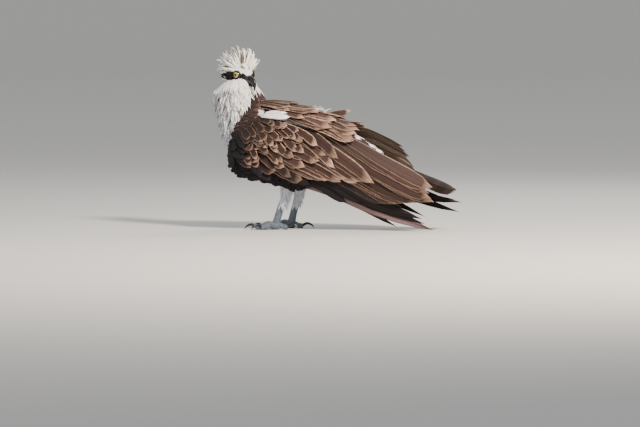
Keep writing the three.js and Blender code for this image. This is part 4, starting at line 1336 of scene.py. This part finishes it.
def arm_ring(side, x):
    # down the outer face of the folded arm and back up its inner face
    top, low_edge, thick = ARM(np.array(x))
    outer, inner = np.linspace(0, 1, ARM_SIDES), np.linspace(1, 0, ARM_SIDES)[1:-1]
    share = np.concatenate([outer, inner])
    sign = np.concatenate([np.ones(len(outer)), -np.ones(len(inner))])
    bulge = np.sqrt(np.clip(1 - (2 * share - 1) ** 2, 0, 1)) ** 0.6
    out = sign * bulge * (thick * 0.35 - 1) - 5.5
    return sheet_point(side, np.full(len(share), x), top + (low_edge - top) * share, out)


for side in ("left", "right"):
    masses.append(lofted("mass", thigh_rings(side)))
    masses.append(lofted("mass", [arm_ring(side, x) for x in np.linspace(-138, 92, 40)]))
print("all masses", len(masses))

# %% Skin surface
SKIN_VOXEL, SOFTEN_STEPS = 0.0024, 4
skin = join(masses, "Skin", SKIN_VOXEL)
soften = skin.modifiers.new("Soften", "SMOOTH")
soften.iterations = SOFTEN_STEPS
bpy.ops.object.modifier_apply(modifier="Soften")
print("skin", len(skin.data.polygons), "faces")

# %% [markdown]
# ## Skin colours
# The skin carries the same markings as the coat above it, so that nothing pale shows between dark
# feathers. The colour of each point comes from where it is on the bird. One paint layer holds it,
# since a second material would leave a hard seam.

# %% Skin markings
def bird_points(piece):
    points = np.empty(len(piece.data.vertices) * 3)
    piece.data.vertices.foreach_get("co", points)
    return points.reshape(-1, 3) * MM - SHIFT


points = bird_points(skin)
local = moved(from_head, points)
colour = np.tile(WHITE * 0.8, (len(points), 1))
on_wing = (np.abs(points[:, 1]) > 52) | ((points[:, 2] > 236) & (points[:, 0] > -70))
colour[on_wing & (points[:, 2] < 300)] = WING_DARK
colour[points[:, 0] > 120] = TAIL_BROWN
on_head = np.linalg.norm(points - np.array(HEAD_CENTRE), axis=-1) < 42
head_tint, _, _ = head_colours(local)
head_tint[local[:, 0] < -4] = WHITE * 0.9
colour[on_head] = head_tint[on_head]
paint(skin.data, "tint", colour)
print("skin points on the head", int(on_head.sum()))

# %% Skin material
# dull and finely pored, so that the eye takes a gap between feathers for down in shadow
skin_material, shader = new_material("Skin under the plumage", 0.85)
tint_node = add_node(skin_material, "ShaderNodeAttribute", {"attribute_name": "tint"})
wire(skin_material, tint_node.outputs["Color"], shader.inputs["Base Color"])
pores = add_node(skin_material, "ShaderNodeTexNoise", {"Scale": 500.0, "Detail": 4.0})
bump = add_node(
    skin_material, "ShaderNodeBump", {"Strength": 0.4, "Distance": 0.0005},
    {"Height": pores.outputs["Fac"]},
)
wire(skin_material, bump.outputs[0], shader.inputs["Normal"])
finish_surface(skin, skin_material)
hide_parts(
    "torso", "neck", "head", "wing_left", "wing_right", "tail", "thigh_left", "thigh_right"
)
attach(skin, "root")
print("skin material", skin_material.name)

# %% [markdown]
# ## Eyes
# An osprey's iris is clear yellow round a small black pupil, under a wet cornea. The eyeball is
# turned on a lathe round its line of sight, so that its map runs from the pupil outward. Then one
# ramp along that map paints pupil, iris and dark rim, with no picture and no separate discs.

# %% Iris ramp
# clear wet cornea: near mirror-smooth, so that it holds one sharp highlight over the yellow
IRIS_RADIUS, PUPIL_RADIUS = 5.6, 2.6
eye_material, shader = new_material("Yellow iris under a wet cornea", 0.05)
shader.inputs["Coat Weight"].default_value = 0.6
polar = add_node(eye_material, "ShaderNodeUVMap", {"uv_map": "Polar"})
ring = add_node(eye_material, "ShaderNodeSeparateXYZ", links={0: polar.outputs["UV"]})
ramp = add_node(eye_material, "ShaderNodeValToRGB", links={0: ring.outputs[1]})
iris_angle = math.asin(IRIS_RADIUS / EYE_RADIUS) / math.pi
pupil_angle = math.asin(PUPIL_RADIUS / EYE_RADIUS) / math.pi
stops = [
    (0.0, "#050505"), (pupil_angle, "#050505"), (pupil_angle + 0.008, "#8a6420"),
    (pupil_angle + 0.03, "#c9a145"), (iris_angle - 0.03, "#dcbf62"),
    (iris_angle - 0.008, "#86682e"), (iris_angle + 0.012, "#100d0c"),
]
while len(ramp.color_ramp.elements) < len(stops):
    ramp.color_ramp.elements.new(0.5)
for element, (at, code) in zip(ramp.color_ramp.elements, stops):
    element.position = at
    element.color = solid_colour(code)
print("iris ring from", round(pupil_angle, 3), "to", round(iris_angle, 3))

# %% Iris fibres
# fine spokes, darker and lighter, keep the iris from looking like a painted disc
spokes = add_node(eye_material, "ShaderNodeTexNoise", {"Scale": 1.0, "Detail": 3.0})
stretch = add_node(
    eye_material, "ShaderNodeVectorMath", {"operation": "MULTIPLY", 1: (60, 4, 1)},
    {0: polar.outputs["UV"]},
)
wire(eye_material, stretch.outputs[0], spokes.inputs["Vector"])
fibres = add_node(
    eye_material, "ShaderNodeMapRange",
    {"From Min": 0.3, "From Max": 0.7, "To Min": 0.8, "To Max": 1.1},
    {"Value": spokes.outputs["Fac"]},
)
shaded = add_node(
    eye_material, "ShaderNodeVectorMath", {"operation": "SCALE"}, {0: ramp.outputs["Color"]}
)
wire(eye_material, fibres.outputs[0], shaded.inputs["Scale"])
wire(eye_material, shaded.outputs[0], shader.inputs["Base Color"])
print("iris nodes", len(eye_material.node_tree.nodes))

# %% Eyelid material
# half-matt dark skin, finely folded: it frames the bright eye with a quiet rim
lid_material, shader = new_material("Dark bare eyelid", 0.5)
folds = add_node(lid_material, "ShaderNodeTexNoise", {"Scale": 900.0, "Detail": 2.0})
tone = add_node(
    lid_material, "ShaderNodeMix",
    {"data_type": "RGBA", 6: solid_colour("#0f0d0e"), 7: solid_colour("#2a2324")},
    {0: folds.outputs["Fac"]},
)
wire(lid_material, tone.outputs[2], shader.inputs["Base Color"])
print("eyelid material", lid_material.name)

# %% Lathe round the line of sight
def facing_frame(side):
    gaze = unit(np.array([0.42, side, 0.06]))
    right = unit(np.cross(gaze, [0, 0, 1.0]))
    return gaze, right, np.cross(right, gaze)


def lathe(name, frame_axes, centre, profile, sides=48):
    gaze, right, up = frame_axes
    profile = np.array(profile, float)
    spin = full_circle(sides)
    turned = np.cos(spin)[None, :, None] * right + np.sin(spin)[None, :, None] * up
    rings = np.array(centre) + profile[:, 0, None, None] * gaze + profile[:, 1, None, None] * turned
    return lofted(name, moved(head_matrix, rings))


print("left gaze", facing_frame(1)[0].round(2))

# %% Eyeball profile and map
CORNEA_RISE, CORNEA_SPREAD = 0.7, 0.55
theta = np.linspace(0.03, math.pi - 0.03, 40)
cornea = CORNEA_RISE * np.exp(-((theta / CORNEA_SPREAD) ** 2))
EYE_PROFILE = np.column_stack([(EYE_RADIUS + cornea) * np.cos(theta), EYE_RADIUS * np.sin(theta)])


def add_polar_map(eyeball, axes, centre):
    uv = eyeball.data.uv_layers.new(name="Polar")
    corner = [eyeball.data.vertices[l.vertex_index].co[:] for l in eyeball.data.loops]
    ray = unit(moved(from_head, np.array(corner) * MM - SHIFT) - centre)
    from_gaze = np.arccos(np.clip(ray @ axes[0], -1, 1)) / math.pi
    spin = np.arctan2(ray @ axes[2], ray @ axes[1]) / FULL_TURN + 0.5
    uv.data.foreach_set("uv", np.stack([spin, from_gaze], -1).astype(np.float32).ravel())


print("eyeball profile points", len(EYE_PROFILE))

# %% Eyes
LID_FORWARD, LID_RADIUS, LID_THICK = 4.4, 8.1, 1.3
lid_ring = [
    (LID_FORWARD + LID_THICK * math.cos(a), LID_RADIUS + LID_THICK * math.sin(a))
    for a in full_circle(12)
]
for name, side in (("eye_right", -1), ("eye_left", 1)):
    centre = np.array([EYE[0], side * EYE[1], EYE[2]])
    axes = facing_frame(side)
    eyeball = lathe(name, axes, centre, EYE_PROFILE)
    add_polar_map(eyeball, axes, centre)
    finish_surface(eyeball, eye_material)
    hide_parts(name)
    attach(eyeball, "root")
    lid = lathe(name.replace("eye", "eyelid"), axes, centre, lid_ring + lid_ring[:1])
    finish_surface(lid, lid_material)
    coat.append(lid)
    print(eyeball.name, "and", lid.name)

# %% [markdown]
# ## Bill
# The bill is horn: black and smooth, with a blue-grey cere at its base and a long hooked tip. It
# is lofted from the same sections as the solid, read at many more places, so that the hook turns
# smoothly. The nostril is a dent pressed into those rings, which leaves the horn in one piece.

# %% Bill material
# polished horn: smooth enough for a long soft highlight, with faint growth ripples under it
horn, shader = new_material("Black bill horn", 0.32)
tint_node = add_node(horn, "ShaderNodeAttribute", {"attribute_name": "tint"})
wire(horn, tint_node.outputs["Color"], shader.inputs["Base Color"])
growth = add_node(horn, "ShaderNodeTexNoise", {"Scale": 260.0, "Detail": 3.0})
bump = add_node(
    horn, "ShaderNodeBump", {"Strength": 0.15, "Distance": 0.0004},
    {"Height": growth.outputs["Fac"]},
)
wire(horn, bump.outputs[0], shader.inputs["Normal"])
print("bill material", horn.name)

# %% Bill sections
# x, z, half height, half width, in the head's own millimetres
BILL_SECTIONS = {
    "bill_upper": [
        (25, -4, 9.2, 8.2), (32, -3.6, 8.8, 7.6), (40, -3.8, 8.4, 6.6), (47, -6, 7.6, 5.4),
        (52.5, -11, 6, 4), (55, -17, 4, 2.6), (55.2, -23, 1.9, 1.3), (54.2, -28, 0.5, 0.4),
    ],
    "bill_lower": [
        (24, -15, 3.6, 7), (32, -15.2, 3.4, 6), (40, -15.6, 3, 4.6), (46, -16.2, 2, 3),
        (49, -16.6, 0.8, 1.2),
    ],
}
NOSTRIL, NOSTRIL_SIZE, NOSTRIL_DEPTH = (37, 6.6, -1), (3.2, 3.0, 1.4), 1.8


def bill_rings(table):
    at = smooth_table([(k, *row) for k, row in enumerate(table)])
    x, z, high_r, half_r = at(np.linspace(0, len(table) - 1, 40))
    centre = np.stack([x, 0 * x, z], -1)
    along = unit(np.gradient(centre, axis=0))
    up = np.stack([-along[:, 2], 0 * x, along[:, 0]], -1)
    spin = full_circle(32)
    return (
        centre[:, None] + up[:, None] * (np.sin(spin)[None, :] * high_r[:, None])[..., None]
        + np.array([0, 1, 0]) * (np.cos(spin)[None, :] * half_r[:, None])[..., None]
    )


def press_nostrils(rings):
    for lateral in (-1, 1):
        middle = np.array([NOSTRIL[0], lateral * NOSTRIL[1], NOSTRIL[2]])
        dent = np.exp(-(((rings - middle) / np.array(NOSTRIL_SIZE)) ** 2).sum(-1))
        rings[..., 1] -= lateral * NOSTRIL_DEPTH * dent


print("bill rings", bill_rings(BILL_SECTIONS["bill_upper"]).shape)

# %% Bill
BILL_BLACK, CERE_BLUE = linear("#0e1015"), linear("#252c3a")
CERE_END, CERE_FADE = 39, 4
for name, table in BILL_SECTIONS.items():
    rings = bill_rings(table)
    if name == "bill_upper":
        press_nostrils(rings)
    bill = lofted(name, moved(head_matrix, rings))
    forward = moved(from_head, bird_points(bill))[:, 0]
    cere = np.clip((CERE_END - forward) / CERE_FADE, 0, 1)[:, None]
    paint(bill.data, "tint", blend(BILL_BLACK, CERE_BLUE, cere))
    finish_surface(bill, horn)
    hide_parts(name)
    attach(bill, "root")
    print(bill.name, len(bill.data.polygons), "faces")

# %% [markdown]
# ## Feet and claws
# Bare blue-grey shanks and toes are covered in small rough scales that hold a slippery fish. The
# masses of shank, pad and toes are remeshed into one foot. The scales are cells about 2.4 mm
# across. Modelling them one by one would take many faces, so they are raised in the bump instead.
# The claws are long, round and black, and stay pieces of their own.

# %% Foot material
# dull scaled skin: pale cell tops and grooves darkened as painted shade break the light up, so it
# looks dry and rough
CELLS_PER_METRE = 420.0
scaled, shader = new_material("Scaled leg skin", 0.55)
place = add_node(scaled, "ShaderNodeTexCoord")
edges = add_node(
    scaled, "ShaderNodeTexVoronoi", {"feature": "DISTANCE_TO_EDGE", "Scale": CELLS_PER_METRE},
    {"Vector": place.outputs["Object"]},
)
groove = add_node(
    scaled, "ShaderNodeMapRange",
    {"From Min": 0.0, "From Max": 0.12, "To Min": 0.0, "To Max": 1.0},
    {"Value": edges.outputs["Distance"]},
)
tone = add_node(
    scaled, "ShaderNodeMix",
    {"data_type": "RGBA", 6: solid_colour("#2b313c"), 7: solid_colour("#76828f")},
    {0: groove.outputs[0]},
)
wire(scaled, tone.outputs[2], shader.inputs["Base Color"])
bump = add_node(
    scaled, "ShaderNodeBump", {"Strength": 0.9, "Distance": 0.0008}, {"Height": groove.outputs[0]}
)
wire(scaled, bump.outputs[0], shader.inputs["Normal"])
print("scales, mm across", round(MM / CELLS_PER_METRE, 1))

# %% Claw material
# the smoothest horn on the bird: a tight highlight runs along each black claw
claw_horn, shader = new_material("Black claw horn", 0.25)
ridges = add_node(claw_horn, "ShaderNodeTexNoise", {"Scale": 300.0})
tone = add_node(
    claw_horn, "ShaderNodeMix",
    {"data_type": "RGBA", 6: solid_colour("#0c0d0f"), 7: solid_colour("#26282c")},
    {0: ridges.outputs["Fac"]},
)
wire(claw_horn, tone.outputs[2], shader.inputs["Base Color"])
bump = add_node(
    claw_horn, "ShaderNodeBump", {"Strength": 0.1, "Distance": 0.0003},
    {"Height": ridges.outputs["Fac"]},
)
wire(claw_horn, bump.outputs[0], shader.inputs["Normal"])
print("claw material", claw_horn.name)

# %% Toe paths
# toe, turn from straight ahead in degrees, length, height of the knuckle
TOES = [("inner", 34, 36, 11), ("middle", 2, 43, 13), ("outer", -32, 37, 11), ("hind", 176, 27, 9)]
TOE_RADIUS = 5.6


def toe_path(side, turn, length, knuckle):
    leg = LEGS[side]
    angle = math.radians(180 + leg["turn"] + turn * (1 if side == "left" else -1))
    away = np.array([math.cos(angle), math.sin(angle), 0])
    base = np.array([leg["foot"][0], leg["foot"][1], TOE_RADIUS + 3.5])
    low = TOE_RADIUS - 0.8
    steps = ((0, base[2]), (0.34, knuckle), (0.7, low + 1.2), (1.0, low))
    return away, [np.array([*(base + away * length * share)[:2], z]) for share, z in steps]


print("left middle toe ends at", toe_path("left", *TOES[1][1:])[1][3].round(1))

# %% Claws
CLAW_LENGTH, HIND_CLAW_GROWTH, CLAW_TIP_HEIGHT = 25, 1.05, 0.9
CLAW_RADII = [3.1, 2.85, 1.86, 0.35]


def claw_path(toe, away, end):
    start = np.array([*(end - away * 2)[:2], end[2] + 1.4])
    grow = HIND_CLAW_GROWTH if toe == "hind" else 1.0
    return [
        start, start + away * CLAW_LENGTH * 0.42 * grow + (0, 0, 4.6),
        start + away * CLAW_LENGTH * 0.82 * grow + (0, 0, 1.2),
        np.array([*(start + away * CLAW_LENGTH * grow)[:2], CLAW_TIP_HEIGHT]),
    ]


for side in ("left", "right"):
    for toe, turn, length, knuckle in TOES:
        away, path = toe_path(side, turn, length, knuckle)
        rings = tube_rings(claw_path(toe, away, path[3]), CLAW_RADII, 30, 20)
        claw = lofted(f"{side} {toe} claw", rings)
        finish_surface(claw, claw_horn)
        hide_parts(f"claw_{side}_{toe}")
        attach(claw, "root")
print("claws", 2 * len(TOES))

# %% Feet
FOOT_VOXEL, SOLE_HEIGHT = 0.0009, 0.00005
SHANK_RADII, TOE_RADII = [9.0, 8.4, 7.6, 7.8, 9.0], [6.8, 5.6, 6.0, 5.0, 5.6, 4.4]


def pad_ring(foot, a, spin):
    x, y = foot[0] + 12 * math.sin(a) * np.cos(spin), foot[1] + 11 * math.sin(a) * np.sin(spin)
    return np.stack([x, y, 7 + 8 * math.cos(a) + 0 * spin], -1)


def foot_masses(side):
    ankle, foot = np.array(LEGS[side]["ankle"], float), np.array(LEGS[side]["foot"], float)
    sole = np.array([foot[0], foot[1], TOE_RADIUS + 3])
    shank = [ankle + (3, 0, 2), (ankle + foot) / 2, sole]
    masses = [lofted("mass", tube_rings(shank, SHANK_RADII))]
    for _, turn, length, knuckle in TOES:
        _, path = toe_path(side, turn, length, knuckle)
        masses.append(lofted("mass", tube_rings(path, TOE_RADII)))
    spin, theta = full_circle(24), np.linspace(0.1, math.pi - 0.1, 14)
    masses.append(lofted("mass", [pad_ring(foot, a, spin) for a in theta]))
    return masses


for side in ("left", "right"):
    foot_piece = join(foot_masses(side), f"{side} foot", FOOT_VOXEL)
    for vertex in foot_piece.data.vertices:
        vertex.co.z = max(vertex.co.z, SHIFT[2] / MM + SOLE_HEIGHT)
    finish_surface(foot_piece, scaled)
    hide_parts(f"foot_{side}")
    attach(foot_piece, "root")
    print(foot_piece.name, len(foot_piece.data.polygons), "faces")

# %% Attach the feather pieces to the root body
for piece in coat:
    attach(piece, "root")
    if "Tail" in piece.name:
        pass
    elif piece.name.startswith(("left_", "right_")):
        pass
    elif "lid" in piece.name:
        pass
    else:
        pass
print("feather pieces and eyelids", len(coat))

# %% [markdown]
# ## Floor and light
# A pale floor runs out to a rim that bends up, so no corner or edge shows from any side. A large
# soft light stands in for a high sun on the right, a wider one fills from the left, and the
# room's own light lifts the rest.

# %% Floor
# plain matt paper: it takes soft shadows and throws no highlight back at the bird
paper, shader = new_material("Pale studio paper", 0.9)
shader.inputs["Base Color"].default_value = solid_colour("#d9d7d2")
FLOOR_RADIUS, RIM_RADIUS, FLOOR_SIDES = 13, 3, 96
profile = [(1.0, 0.0), (4.0, 0.0), (float(FLOOR_RADIUS), 0.0)]
profile += [
    (FLOOR_RADIUS + RIM_RADIUS * math.sin(a), RIM_RADIUS - RIM_RADIUS * math.cos(a))
    for a in np.linspace(0.1, math.pi / 2, 12)
]
corners = [
    (r * math.cos(a), r * math.sin(a), z) for r, z in profile for a in full_circle(FLOOR_SIDES)
]
corners.append((0.0, 0.0, 0.0))
faces = [(len(corners) - 1, k, (k + 1) % FLOOR_SIDES) for k in range(FLOOR_SIDES)]
for ring in range(len(profile) - 1):
    inner, outer = ring * FLOOR_SIDES, (ring + 1) * FLOOR_SIDES
    for k in range(FLOOR_SIDES):
        n = (k + 1) % FLOOR_SIDES
        faces.append((inner + k, outer + k, outer + n, inner + n))
mesh = bpy.data.meshes.new("Studio_floor")
mesh.from_pydata(corners, [], faces)
floor = add_object("Studio_floor", mesh)
finish_surface(floor, paper)
print("floor faces", len(faces))

# %% Lights
def area_light(name, place, aim, size, power, tone):
    data = bpy.data.lights.new(name, "AREA")
    data.size, data.energy, data.color = size, power, tuple(linear(tone))
    lamp = bpy.data.objects.new(name, data)
    lamp.location = place
    lamp.rotation_euler = (Vector(aim) - Vector(place)).to_track_quat("-Z", "Y").to_euler()
    bpy.context.collection.objects.link(lamp)


area_light("Key", (1.4, -1.5, 2.0), (0, 0, 0.18), 0.45, 135, "#fff2e2")
area_light("Fill", (-1.8, -1.6, 0.9), (0, 0, 0.18), 1.6, 9, "#d5e2ff")
area_light("Rim", (0.5, 1.7, 1.6), (0, 0, 0.2), 1.0, 14, "#ffffff")
world = bpy.data.worlds.new("Soft room")
world.use_nodes = True
background = world.node_tree.nodes["Background"]
background.inputs[0].default_value = solid_colour("#eef1f5")
background.inputs[1].default_value = 0.62
bpy.context.scene.world = world
print("room light", world.name)

# %% [markdown]
# ## Camera
# A long lens 11.5 m away flattens the bird as in the photograph: 12 degrees round from square-on
# toward the tail, and 3 degrees above. One pixel of a 640-pixel picture spans 2.15 mm.

# %% Camera
AZIMUTH, ELEVATION, DISTANCE, PIXEL = math.radians(12), math.radians(3), 11.5, 2.15
SENSOR, PICTURE_WIDTH = 36, 640
target = (np.array([44, 0, 33.8]) + SHIFT) / MM
forward = np.array([
    -math.sin(AZIMUTH) * math.cos(ELEVATION), math.cos(AZIMUTH) * math.cos(ELEVATION),
    -math.sin(ELEVATION),
])
camera = bpy.data.objects.new("Camera", bpy.data.cameras.new("Camera"))
camera.data.sensor_width = SENSOR
camera.data.lens = SENSOR * DISTANCE / (PICTURE_WIDTH * PIXEL / MM)
camera.data.clip_end = 60
camera.location = target - forward * DISTANCE
camera.rotation_euler = Vector(forward).to_track_quat("-Z", "Y").to_euler()
bpy.context.collection.objects.link(camera)
bpy.context.scene.camera = camera
print("camera height, m", round(camera.location.z, 2), "lens, mm", round(camera.data.lens, 1))
